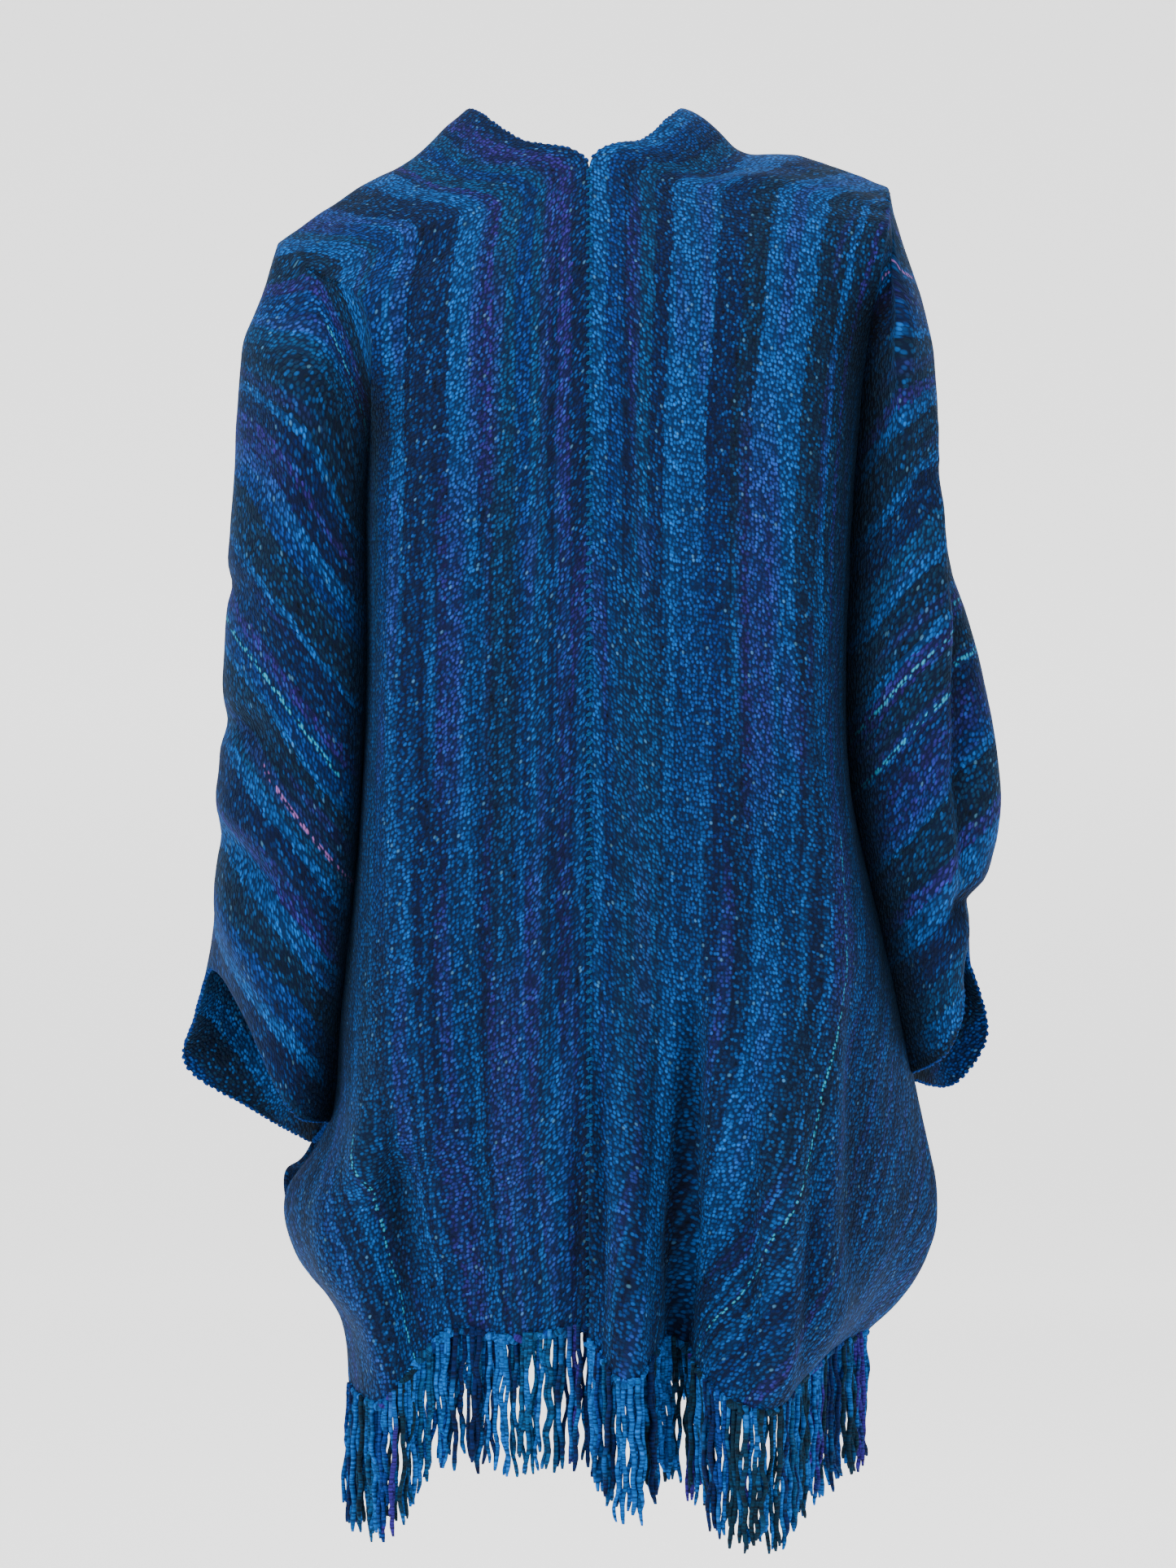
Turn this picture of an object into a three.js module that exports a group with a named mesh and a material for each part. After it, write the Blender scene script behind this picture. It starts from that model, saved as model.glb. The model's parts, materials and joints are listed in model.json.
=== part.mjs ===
// A fringed ruana: an open-fronted wrap of two handwoven chenille panels, in the form it takes
// when worn. Each panel runs from the back hem over the shoulder to the front hem. The panels
// meet in a seam down the middle of the back, and their outer edges are the sleeve openings,
// tacked together under the arm. Fringe hangs from all four hems.
//
// Millimetres, +Z up. The wearer faces +Y, so the back of the wrap faces -Y and the wearer's
// left is -X. The origin is between the sides of the neck, at the height of the shoulders.

import * as THREE from 'three';

// The cloth
const WALL = 2.4;
const SEAM_GAP = 0.3;

// Rows of quads along a panel, from hem to hem, and columns across it
const SIDE_ROWS = 8;
const CREASE_ROWS = 10;
const ARMHOLE_ROWS = 12;
const BODY_COLUMNS = 18;
const EDGE_CROWDING = 1.15;

// The shoulder dips beside the neck, at this share of its width
const DIP_SHARE = 0.27;
const DIP_HALF = 0.2;

// Fringe: a strip under the hem with yarns fused into it
const STRIP_GAP = 0.5;
const STRIP_HEIGHT = 5;
const YARN_WIDTH = 3.1;
const YARN_PITCH = 4.4;
const YARN_SWAY = 4;
const FRINGE_LENGTH = 70;
const FRINGE_VARIATION = 7;

const named = (columns, rows) =>
  rows.map((row) => Object.fromEntries(columns.map((column, k) => [column, row[k]])));

// The inner edge of a panel: centre back seam, neck edge, then the open front edge.
const INNER = named(['level', 'x', 'y', 'z'], [
  ['hem', 0, -104, -730],
  ['thigh', 0, -105, -705],
  ['hip', 0, -106, -680],
  ['seat', 0, -107, -655],
  ['tack', 0, -108, -620],
  ['elbow', 0, -108, -550],
  ['waist', 0, -107, -460],
  ['rib', 0, -105, -350],
  ['blade', 0, -103, -240],
  ['armhole', 0, -98, -130],
  ['nape', 0, -72, -48],
  ['neck back', 37, -50, -28],
  ['neck side', 66, -4, 0],
  ['neck front', 74, 42, -16],
  ['chest', 70, 80, -62],
  ['armhole', 64, 98, -130],
  ['blade', 58, 106, -240],
  ['rib', 54, 110, -350],
  ['waist', 51, 113, -460],
  ['elbow', 49, 115, -550],
  ['tack', 48, 116, -620],
  ['seat', 47, 118, -655],
  ['hip', 46, 119, -680],
  ['thigh', 45, 120, -705],
  ['hem', 44, 121, -730],
]);

// The outer line of a panel's body, with x outward. It is the free side edge from the hem to
// the tack, the bottom of the deep crease between body and sleeve from there to the armhole,
// and the top of the sleeve over the shoulder. A row that is more square keeps to the depth
// of its inner end for longer before it turns.
const OUTER_COLUMNS = ['level', 'x', 'y', 'z', 'square'];
const OUTER_LEFT = named(OUTER_COLUMNS, [
  ['hem', 144, -34, -776, 4],
  ['thigh', 150, -26, -734, 4],
  ['hip', 177, -16, -698, 4],
  ['seat', 184, -10, -664, 4],
  ['tack', 159, -3, -620, 6],
  ['elbow', 150, -26, -548, 9],
  ['waist', 140, -32, -460, 11],
  ['rib', 134, -34, -350, 11],
  ['blade', 133, -46, -240, 10],
  ['armhole', 126, -88, -142, 3],
  ['nape', 160, -66, -112, 1.5],
  ['neck back', 182, -34, -92, 1.2],
  ['neck side', 190, 0, -82, 1],
  ['neck front', 183, 34, -94, 1.2],
  ['chest', 160, 66, -114, 1.5],
  ['armhole', 126, 88, -142, 3],
  ['blade', 133, 46, -240, 9],
  ['rib', 134, 34, -350, 10],
  ['waist', 140, 32, -460, 10],
  ['elbow', 150, 26, -548, 9],
  ['tack', 170, 4, -634, 6],
  ['seat', 187, 12, -655, 4],
  ['hip', 180, 12, -686, 4],
  ['thigh', 156, 12, -712, 4],
  ['hem', 140, 14, -736, 4],
]);
const OUTER_RIGHT = named(OUTER_COLUMNS, [
  ['hem', 168, -20, -745, 4],
  ['thigh', 190, -14, -724, 4],
  ['hip', 206, -12, -698, 4],
  ['seat', 212, -10, -662, 4],
  ['tack', 197, -6, -590, 6],
  ['elbow', 178, -24, -506, 8],
  ['waist', 156, -30, -400, 11],
  ['rib', 156, -32, -286, 11],
  ['blade', 163, -44, -180, 10],
  ['armhole', 172, -78, -100, 3],
  ['nape', 177, -58, -74, 1.6],
  ['neck back', 181, -30, -56, 1.4],
  ['neck side', 182, 0, -48, 1.2],
  ['neck front', 181, 30, -57, 1.4],
  ['chest', 176, 58, -76, 1.6],
  ['armhole', 166, 80, -104, 3],
  ['blade', 160, 44, -180, 9],
  ['rib', 156, 32, -286, 10],
  ['waist', 156, 30, -400, 10],
  ['elbow', 178, 24, -506, 8],
  ['tack', 197, 6, -594, 6],
  ['seat', 202, 12, -655, 4],
  ['hip', 192, 12, -690, 4],
  ['thigh', 176, 12, -712, 4],
  ['hem', 158, 14, -736, 4],
]);

// The sleeve, level by level from the armhole down to its opening: its outermost line, how far
// its back and front swell, and how wide the crease beside it gapes.
const SLEEVE_COLUMNS = ['level', 'x', 'z', 'back', 'front', 'gape'];
const SLEEVE_LEFT = named(SLEEVE_COLUMNS, [
  ['armhole', 199, -90, 88, 88, 9],
  ['blade', 210, -165, 90, 88, 9],
  ['rib', 217, -260, 88, 84, 9],
  ['waist', 222, -360, 86, 80, 9],
  ['elbow', 226, -450, 80, 78, 10],
  ['opening', 231, -525, 70, 70, 12],
]);
const SLEEVE_RIGHT = named(SLEEVE_COLUMNS, [
  ['armhole', 184, -50, 80, 80, 12],
  ['blade', 203, -140, 86, 84, 14],
  ['rib', 217, -240, 88, 84, 18],
  ['waist', 234, -350, 84, 82, 18],
  ['elbow', 250, -450, 78, 78, 15],
  ['opening', 224, -497, 62, 66, 12],
]);

// The edge of a sleeve opening, from the tack up the back half and down the front half.
const OPENING_COLUMNS = ['x', 'y', 'z'];
const OPENING_LEFT = named(OPENING_COLUMNS, [
  [159, -3, -620],
  [176, -46, -611],
  [191, -60, -582],
  [209, -48, -545],
  [231, -4, -526],
  [247, 36, -560],
  [255, 58, -592],
  [216, 54, -617],
  [170, 4, -634],
]);
const OPENING_RIGHT = named(OPENING_COLUMNS, [
  [197, -6, -590],
  [214, -44, -574],
  [223, -54, -543],
  [218, -44, -508],
  [222, -8, -492],
  [236, 34, -520],
  [252, 56, -570],
  [230, 50, -602],
  [197, 6, -594],
]);

// Folds of the hanging cloth, which run along it. Each lies at a share of the panel's width,
// with half its half width. It starts at zTop and grows to its full height, its push outward,
// at the hem, where it also lowers the hem by drop.
const FOLD_COLUMNS = ['share', 'half', 'zTop', 'height', 'drop'];
const FOLDS = {
  left: {
    back: named(FOLD_COLUMNS, [
      [0.88, 0.15, -500, 28, 12],
      [0.57, 0.18, -440, -16, -22],
      [0.24, 0.2, -560, -8, -6],
    ]),
    front: named(FOLD_COLUMNS, [
      [0.8, 0.24, -360, 22, 8],
      [0.36, 0.2, -420, -14, 0],
    ]),
  },
  right: {
    back: named(FOLD_COLUMNS, [
      [0.12, 0.1, -600, 20, 22],
      [0.32, 0.09, -500, -30, -4],
      [0.57, 0.24, -400, 34, 34],
      [0.89, 0.09, -560, -10, 0],
    ]),
    front: named(FOLD_COLUMNS, [
      [0.76, 0.24, -380, 22, 8],
      [0.34, 0.2, -440, -14, 0],
    ]),
  },
};

const SIDES = {
  left: {
    sign: -1,
    neckScale: 1.12,
    neckDip: 7,
    outer: OUTER_LEFT,
    sleeve: SLEEVE_LEFT,
    opening: OPENING_LEFT,
    folds: FOLDS.left,
    colour: 0x0b5f93,
  },
  right: {
    sign: 1,
    neckScale: 0.88,
    neckDip: 13,
    outer: OUTER_RIGHT,
    sleeve: SLEEVE_RIGHT,
    opening: OPENING_RIGHT,
    folds: FOLDS.right,
    colour: 0x0a5488,
  },
};

// Table levels of a panel, and the rows of quads that lie between them
const SIDE_LEVELS = 4;
const CREASE_LEVELS = 5;
const ARMHOLE_LEVELS = 6;
const TACK_ROW = SIDE_ROWS;
const ARMHOLE_ROW = TACK_ROW + CREASE_ROWS;
const FRONT_ARMHOLE_ROW = ARMHOLE_ROW + ARMHOLE_ROWS;
const FRONT_TACK_ROW = FRONT_ARMHOLE_ROW + CREASE_ROWS;
const FRONT_HEM_ROW = FRONT_TACK_ROW + SIDE_ROWS;

const lerp = THREE.MathUtils.lerp;
const smoothstep = THREE.MathUtils.smoothstep;

// A smooth value between the rows of a table's column, with t counted in rows.
function along(table, column, t) {
  const last = table.length - 1;
  const k = Math.min(Math.floor(t), last - 1);
  const at = (n) => table[THREE.MathUtils.clamp(n, 0, last)][column];
  const before = at(k);
  const after = at(k + 1);
  const share = t - k;
  const slopeBefore = (after - at(k - 1)) / 2;
  const slopeAfter = (at(k + 2) - before) / 2;
  const square = share * share;
  const cube = square * share;
  return before * (2 * cube - 3 * square + 1) + slopeBefore * (cube - 2 * square + share)
    + after * (3 * square - 2 * cube) + slopeAfter * (cube - square);
}

function pointAlong(table, t) {
  return new THREE.Vector3(along(table, 'x', t), along(table, 'y', t), along(table, 'z', t));
}

// The place of a row of quads in the tables.
function levelOfRow(row) {
  if (row <= TACK_ROW) {
    return (row / SIDE_ROWS) * SIDE_LEVELS;
  }
  if (row <= ARMHOLE_ROW) {
    return SIDE_LEVELS + ((row - TACK_ROW) / CREASE_ROWS) * CREASE_LEVELS;
  }
  if (row <= FRONT_ARMHOLE_ROW) {
    const share = (row - ARMHOLE_ROW) / ARMHOLE_ROWS;
    return SIDE_LEVELS + CREASE_LEVELS + share * ARMHOLE_LEVELS;
  }
  return INNER.length - 1 - levelOfRow(FRONT_HEM_ROW - row);
}

// Folds push the cloth outward and lower the hem, more and more towards the hem.
function addFolds(point, share, folds, outward) {
  const calm = 1 - share ** 8;
  for (const fold of folds) {
    const hemZ = INNER[0].z;
    const growth = smoothstep((point.z - fold.zTop) / (hemZ - fold.zTop), 0, 1);
    const bell = Math.exp(-(((share - fold.share) / fold.half) ** 2));
    point.y += outward * fold.height * bell * growth * calm;
    point.z -= fold.drop * bell * growth ** 3 * calm;
  }
}

// A point of the panel's body, share 0 at the inner edge and 1 at the outer line, x outward.
function bodyPoint(side, row, share) {
  const level = levelOfRow(row);
  const inner = pointAlong(INNER, level);
  inner.x = Math.max(inner.x * side.neckScale, SEAM_GAP / 2);
  const outer = pointAlong(side.outer, level);
  const turn = share ** Math.max(along(side.outer, 'square', level), 1);
  const point = new THREE.Vector3(
    lerp(inner.x, outer.x, share),
    lerp(inner.y, outer.y, turn),
    lerp(inner.z, outer.z, share),
  );
  if (row < ARMHOLE_ROW) {
    addFolds(point, share, side.folds.back, -1);
  } else if (row > FRONT_ARMHOLE_ROW) {
    addFolds(point, share, side.folds.front, 1);
  } else {
    const round = (row - ARMHOLE_ROW) / ARMHOLE_ROWS;
    const dip = Math.exp(-(((share - DIP_SHARE) / DIP_HALF) ** 2)) * smoothstep(share, 0, DIP_SHARE);
    point.z -= side.neckDip * dip * Math.sin(Math.PI * round);
  }
  return point;
}

// A point of the sleeve between the two creases. down runs from 0 at the armhole to 1 at the
// opening, round from 0 at the back crease over the outermost line to 1 at the front crease.
function sleevePoint(side, down, round) {
  const level = down * CREASE_LEVELS;
  const reading = (column) => along(side.sleeve, column, level);
  const backLevel = SIDE_LEVELS + CREASE_LEVELS - level;
  const frontLevel = INNER.length - 1 - backLevel;
  const backCrease = pointAlong(side.outer, backLevel);
  const frontCrease = pointAlong(side.outer, frontLevel);
  const outX = reading('x');
  const outZ = reading('z');
  const gape = reading('gape');
  const half = (crease, swell) => [
    { x: crease.x, y: crease.y, z: crease.z },
    { x: crease.x + gape, y: swell * 0.84, z: lerp(crease.z, outZ, 0.15) },
    { x: lerp(crease.x, outX, 0.55), y: swell, z: lerp(crease.z, outZ, 0.5) },
    { x: lerp(crease.x, outX, 0.92), y: swell * 0.6, z: lerp(crease.z, outZ, 0.9) },
  ];
  const section = [
    ...half(backCrease, -reading('back')),
    { x: outX, y: 0, z: outZ },
    ...half(frontCrease, reading('front')).reverse(),
  ];
  const free = pointAlong(section, round * (section.length - 1));
  const armholeLevel = SIDE_LEVELS + CREASE_LEVELS + round * ARMHOLE_LEVELS;
  const armhole = pointAlong(side.outer, armholeLevel);
  const opening = pointAlong(side.opening, round * (side.opening.length - 1));
  const fromArmhole = smoothstep(down, 0, 0.16);
  const toOpening = smoothstep(down, 0.7, 1);
  armhole.z -= (armhole.z - free.z) * smoothstep(down, 0, 0.15);
  return armhole.lerp(free, fromArmhole).lerp(opening, toOpening);
}

// The middle surface of a panel: the body's grid, with the sleeve's grid sewn into the stretch
// of its outer line between the two tacks.
function panelSheet(side) {
  const points = [];
  const seam = [];
  const bodyIndex = (column, row) => row * (BODY_COLUMNS + 1) + column;
  for (let row = 0; row <= FRONT_HEM_ROW; row += 1) {
    for (let column = 0; column <= BODY_COLUMNS; column += 1) {
      const share = 1 - (1 - column / BODY_COLUMNS) ** EDGE_CROWDING;
      const point = bodyPoint(side, row, share);
      seam.push(column === 0 && point.x <= SEAM_GAP / 2);
      points.push(point.setX(point.x * side.sign));
    }
  }
  const sleeveStart = points.length;
  const sleeveIndex = (round, down) => {
    if (down === 0) {
      return bodyIndex(BODY_COLUMNS, ARMHOLE_ROW + round);
    }
    if (round === 0) {
      return bodyIndex(BODY_COLUMNS, ARMHOLE_ROW - down);
    }
    if (round === ARMHOLE_ROWS) {
      return bodyIndex(BODY_COLUMNS, FRONT_ARMHOLE_ROW + down);
    }
    return sleeveStart + (down - 1) * (ARMHOLE_ROWS - 1) + round - 1;
  };
  for (let down = 1; down <= CREASE_ROWS; down += 1) {
    for (let round = 1; round < ARMHOLE_ROWS; round += 1) {
      const point = sleevePoint(side, down / CREASE_ROWS, round / ARMHOLE_ROWS);
      seam.push(false);
      points.push(point.setX(point.x * side.sign));
    }
  }
  const grid = (index, columns, rows) => {
    const triangles = [];
    for (let row = 0; row < rows; row += 1) {
      for (let column = 0; column < columns; column += 1) {
        const a = index(column, row);
        const b = index(column + 1, row);
        const c = index(column + 1, row + 1);
        const d = index(column, row + 1);
        triangles.push([a, b, c], [a, c, d]);
      }
    }
    return triangles;
  };
  const body = grid(bodyIndex, BODY_COLUMNS, FRONT_HEM_ROW);
  const sleeve = grid((column, row) => sleeveIndex(row, column), CREASE_ROWS, ARMHOLE_ROWS);
  const hem = (row) => {
    const columns = Array.from({ length: BODY_COLUMNS + 1 }, (unused, column) => column);
    return columns.map((column) => bodyIndex(column, row));
  };
  return { points, seam, body, sleeve, backHem: hem(0), frontHem: hem(FRONT_HEM_ROW) };
}

// The normals of one part of a sheet at all of the sheet's points, zero off that part.
function partNormals(points, triangles) {
  const normals = points.map(() => new THREE.Vector3());
  for (const [a, b, c] of triangles) {
    const edge = points[b].clone().sub(points[a]);
    const other = points[c].clone().sub(points[a]);
    const normal = edge.cross(other);
    for (const corner of [a, b, c]) {
      normals[corner].add(normal);
    }
  }
  return normals.map((normal) => normal.normalize());
}

// Each point's normal. Body and sleeve have an equal say along the crease where they meet. On
// the centre back seam it stays in the seam's plane, so that both panels end flush there.
function sheetNormals(sheet) {
  const ofSleeve = partNormals(sheet.points, sheet.sleeve);
  return partNormals(sheet.points, sheet.body).map((normal, k) => {
    normal.add(ofSleeve[k]);
    if (sheet.seam[k]) {
      normal.setX(0);
    }
    return normal.normalize();
  });
}

// A closed wall of even thickness about a sheet: both faces and a rim along its free edges.
function thickened(sheet, normals, wall) {
  const count = sheet.points.length;
  const positions = [];
  for (const offset of [wall / 2, -wall / 2]) {
    sheet.points.forEach((point, k) => {
      positions.push(...point.clone().addScaledVector(normals[k], offset).toArray());
    });
  }
  const faces = [];
  const edges = new Map();
  for (const [a, b, c] of [...sheet.body, ...sheet.sleeve]) {
    faces.push(a, b, c, count + a, count + c, count + b);
    for (const [from, to] of [[a, b], [b, c], [c, a]]) {
      edges.set(`${from}-${to}`, [from, to]);
    }
  }
  for (const [from, to] of edges.values()) {
    if (!edges.has(`${to}-${from}`)) {
      faces.push(to, from, count + from, to, count + from, count + to);
    }
  }
  return solidFrom(positions, faces);
}

// A geometry from shared points and faces, turned so that its faces point out.
function solidFrom(positions, faces) {
  const corner = (k) => new THREE.Vector3().fromArray(positions, faces[k] * 3);
  let volume = 0;
  for (let k = 0; k < faces.length; k += 3) {
    volume += corner(k).dot(corner(k + 1).cross(corner(k + 2)));
  }
  const ordered = volume < 0 ? faces.slice().reverse() : faces;
  const geometry = new THREE.BufferGeometry();
  geometry.setAttribute('position', new THREE.Float32BufferAttribute(positions, 3));
  geometry.setIndex(ordered);
  return geometry;
}

// A fringe: a strip that follows the hem's rim, just below it, with yarns that grow out of its
// underside. Cross-sections of the strip stand at every hem point and at both sides of every
// yarn. Each has its corners in the order outside top, inside top, inside bottom, outside
// bottom.
function fringe(sheet, normals, hem) {
  const positions = [];
  const faces = [];
  const addRing = (corners) => {
    corners.forEach((corner) => positions.push(...corner.toArray()));
    return positions.length / 3 - corners.length;
  };
  const rim = (k, offset, drop) => {
    const point = sheet.points[k].clone().addScaledVector(normals[k], offset);
    return point.setZ(point.z - STRIP_GAP - drop);
  };
  const crossSection = (k) => [
    rim(k, WALL / 2, 0),
    rim(k, -WALL / 2, 0),
    rim(k, -WALL / 2, STRIP_HEIGHT),
    rim(k, WALL / 2, STRIP_HEIGHT),
  ];
  const between = (a, b, share) => a.map((corner, n) => corner.clone().lerp(b[n], share));
  const addWalls = (here, next, sides) => {
    for (const [a, b] of sides) {
      faces.push(here + a, here + b, next + b, here + a, next + b, next + a);
    }
  };
  const closed = [[0, 1], [1, 2], [2, 3], [3, 0]];
  const openBelow = [[0, 1], [1, 2], [3, 0]];
  let distance = 0;
  let yarns = 0;
  let section = crossSection(hem[0]);
  let ring = addRing(section);
  const first = ring;
  for (const k of hem.slice(1)) {
    const nextSection = crossSection(k);
    const length = nextSection[0].distanceTo(section[0]);
    const count = Math.max(1, Math.round(length / YARN_PITCH));
    const half = YARN_WIDTH / 2 / length;
    for (let n = 0; n < count && length > YARN_PITCH * 0.8; n += 1) {
      const middle = (n + 0.5) / count;
      const left = addRing(between(section, nextSection, middle - half));
      const right = addRing(between(section, nextSection, middle + half));
      addWalls(ring, left, closed);
      addWalls(left, right, openBelow);
      const along = distance + middle * length;
      const sway = new THREE.Vector3(
        YARN_SWAY * Math.sin(along / 19),
        YARN_SWAY * Math.cos(along / 27),
        -FRINGE_LENGTH - FRINGE_VARIATION * Math.sin(yarns * 2.4),
      );
      const root = [left + 2, left + 3, right + 3, right + 2];
      const tip = addRing(root.map((corner) =>
        new THREE.Vector3().fromArray(positions, corner * 3).add(sway)));
      for (let corner = 0; corner < root.length; corner += 1) {
        const next = (corner + 1) % root.length;
        faces.push(root[corner], root[next], tip + next, root[corner], tip + next, tip + corner);
      }
      faces.push(tip, tip + 1, tip + 2, tip, tip + 2, tip + 3);
      ring = right;
      yarns += 1;
    }
    const end = addRing(nextSection);
    addWalls(ring, end, closed);
    ring = end;
    section = nextSection;
    distance += length;
  }
  faces.push(first, first + 3, first + 2, first, first + 2, first + 1);
  faces.push(ring, ring + 1, ring + 2, ring, ring + 2, ring + 3);
  return solidFrom(positions, faces);
}

function clothMesh(name, geometry, colour) {
  const material = new THREE.MeshStandardMaterial({ color: colour, roughness: 0.85, metalness: 0 });
  const mesh = new THREE.Mesh(geometry, material);
  mesh.name = name;
  return mesh;
}

const ruana = new THREE.Group();
for (const [sideName, side] of Object.entries(SIDES)) {
  const sheet = panelSheet(side);
  const normals = sheetNormals(sheet);
  ruana.add(clothMesh(`panel_${sideName}`, thickened(sheet, normals, WALL), side.colour));
  ruana.add(clothMesh(`fringe_back_${sideName}`, fringe(sheet, normals, sheet.backHem), 0x0f6ea3));
  ruana.add(clothMesh(`fringe_front_${sideName}`, fringe(sheet, normals, sheet.frontHem), 0x0d4f86));
}

export default ruana;
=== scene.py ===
import json
import math
import random
from functools import lru_cache

import bmesh
import bpy
from mathutils import Euler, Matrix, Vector, noise

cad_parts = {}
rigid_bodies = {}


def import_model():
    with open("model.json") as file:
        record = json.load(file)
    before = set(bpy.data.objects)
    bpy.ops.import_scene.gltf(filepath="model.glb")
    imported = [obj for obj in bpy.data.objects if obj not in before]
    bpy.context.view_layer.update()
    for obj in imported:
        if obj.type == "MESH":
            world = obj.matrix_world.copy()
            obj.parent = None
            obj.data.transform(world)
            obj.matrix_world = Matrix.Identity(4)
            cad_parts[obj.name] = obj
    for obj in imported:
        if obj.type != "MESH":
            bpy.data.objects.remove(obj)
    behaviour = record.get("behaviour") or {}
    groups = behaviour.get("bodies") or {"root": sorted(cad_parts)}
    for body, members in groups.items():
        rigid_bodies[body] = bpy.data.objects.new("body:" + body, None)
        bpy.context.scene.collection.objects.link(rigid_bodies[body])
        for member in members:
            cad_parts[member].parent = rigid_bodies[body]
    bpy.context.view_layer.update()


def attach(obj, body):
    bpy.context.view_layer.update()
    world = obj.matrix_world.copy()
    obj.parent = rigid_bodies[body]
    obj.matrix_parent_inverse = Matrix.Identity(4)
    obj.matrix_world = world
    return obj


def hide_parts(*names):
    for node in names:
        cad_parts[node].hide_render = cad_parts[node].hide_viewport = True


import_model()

bl_info = {
    "name": "Fringed ruana",
    "version": (1, 0, 0),
    "blender": (4, 5, 0),
    "location": "View3D > Sidebar > Ruana",
    "description": "Handwoven chenille wrap with a back seam, batwing sleeves and fringed hems",
    "category": "Add Mesh",
}

MM = 0.001

# The form of the wrap, in millimetres with x outward from the middle, as the solids have it.
# A panel's tables run from its back hem, level 0, over the shoulder to its front hem, level 24.
TACK = 4
ARMHOLE = 9
FRONT_ARMHOLE = 15
FRONT_TACK = 20
FRONT_HEM = 24
CREASE_LEVELS = 5
ARMHOLE_LEVELS = 6
SLEEVE_MIDDLE = 200
SLEEVE_OPEN = 60

# Distances from a sleeve's crease, and depths of a trough, over which painted shade darkens the
# cloth's colour.
CREASE_SHADE = (10, 62)
TROUGH_SHADE = (1, 12)


def table(columns, *rows):
    """Named rows: one dict for each, with the columns as its keys."""
    names = columns.split()
    return [dict(zip(names, row)) for row in rows]


INNER = table(
    "x y z",
    (0, -104, -730), (0, -105, -705), (0, -106, -680), (0, -107, -655), (0, -108, -620),
    (0, -108, -550), (0, -107, -460), (0, -105, -350), (0, -103, -240), (0, -98, -130),
    (0, -72, -48), (37, -50, -28), (66, -4, 0), (74, 42, -16), (70, 80, -62),
    (64, 98, -130), (58, 106, -240), (54, 110, -350), (51, 113, -460), (49, 115, -550),
    (48, 116, -620), (47, 118, -655), (46, 119, -680), (45, 120, -705), (44, 121, -730),
)
OUTER_LEFT = table(
    "x y z square",
    (144, -34, -776, 4), (150, -26, -734, 4), (177, -16, -698, 4), (184, -10, -664, 4),
    (159, -3, -620, 6), (150, -26, -548, 9), (140, -32, -460, 11), (134, -34, -350, 11),
    (133, -46, -240, 10), (126, -88, -142, 3), (160, -66, -112, 1.5), (182, -34, -92, 1.2),
    (190, 0, -82, 1), (183, 34, -94, 1.2), (160, 66, -114, 1.5), (126, 88, -142, 3),
    (133, 46, -240, 9), (134, 34, -350, 10), (140, 32, -460, 10), (150, 26, -548, 9),
    (170, 4, -634, 6), (187, 12, -655, 4), (180, 12, -686, 4), (156, 12, -712, 4),
    (140, 14, -736, 4),
)
OUTER_RIGHT = table(
    "x y z square",
    (168, -20, -745, 4), (190, -14, -724, 4), (206, -12, -698, 4), (212, -10, -662, 4),
    (197, -6, -590, 6), (178, -24, -506, 8), (156, -30, -400, 11), (156, -32, -286, 11),
    (163, -44, -180, 10), (172, -78, -100, 3), (177, -58, -74, 1.6), (181, -30, -56, 1.4),
    (182, 0, -48, 1.2), (181, 30, -57, 1.4), (176, 58, -76, 1.6), (166, 80, -104, 3),
    (160, 44, -180, 9), (156, 32, -286, 10), (156, 30, -400, 10), (178, 24, -506, 8),
    (197, 6, -594, 6), (202, 12, -655, 4), (192, 12, -690, 4), (176, 12, -712, 4),
    (158, 14, -736, 4),
)
SLEEVE_LEFT = table(
    "x z back front gape",
    (199, -90, 88, 88, 9), (210, -165, 90, 88, 9), (217, -260, 88, 84, 9),
    (222, -360, 86, 80, 9), (226, -450, 80, 78, 10), (231, -525, 70, 70, 12),
)
SLEEVE_RIGHT = table(
    "x z back front gape",
    (184, -50, 80, 80, 12), (203, -140, 86, 84, 14), (217, -240, 88, 84, 18),
    (234, -350, 84, 82, 18), (250, -450, 78, 78, 15), (224, -497, 62, 66, 12),
)
OPENING_LEFT = table(
    "x y z",
    (159, -3, -620), (176, -46, -611), (191, -60, -582), (209, -48, -545), (231, -4, -526),
    (247, 36, -560), (255, 58, -592), (216, 54, -617), (170, 4, -634),
)
OPENING_RIGHT = table(
    "x y z",
    (197, -6, -590), (214, -44, -574), (223, -54, -543), (218, -44, -508), (222, -8, -492),
    (236, 34, -520), (252, 56, -570), (230, 50, -602), (197, 6, -594),
)

# Folds of the hanging cloth, as the solids have them, at a share of the panel's width.
FOLDS = "share half top height drop"
FOLDS_LEFT_BACK = table(
    FOLDS, (0.88, 0.15, -500, 28, 12), (0.57, 0.18, -440, -16, -22), (0.24, 0.2, -560, -8, -6)
)
FOLDS_LEFT_FRONT = table(FOLDS, (0.8, 0.24, -360, 22, 8), (0.36, 0.2, -420, -14, 0))
FOLDS_RIGHT_BACK = table(
    FOLDS,
    (0.12, 0.1, -600, 20, 22), (0.32, 0.09, -500, -30, -4),
    (0.57, 0.24, -400, 34, 34), (0.89, 0.09, -560, -10, 0),
)
FOLDS_RIGHT_FRONT = table(FOLDS, (0.76, 0.24, -380, 22, 8), (0.34, 0.2, -440, -14, 0))

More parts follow.
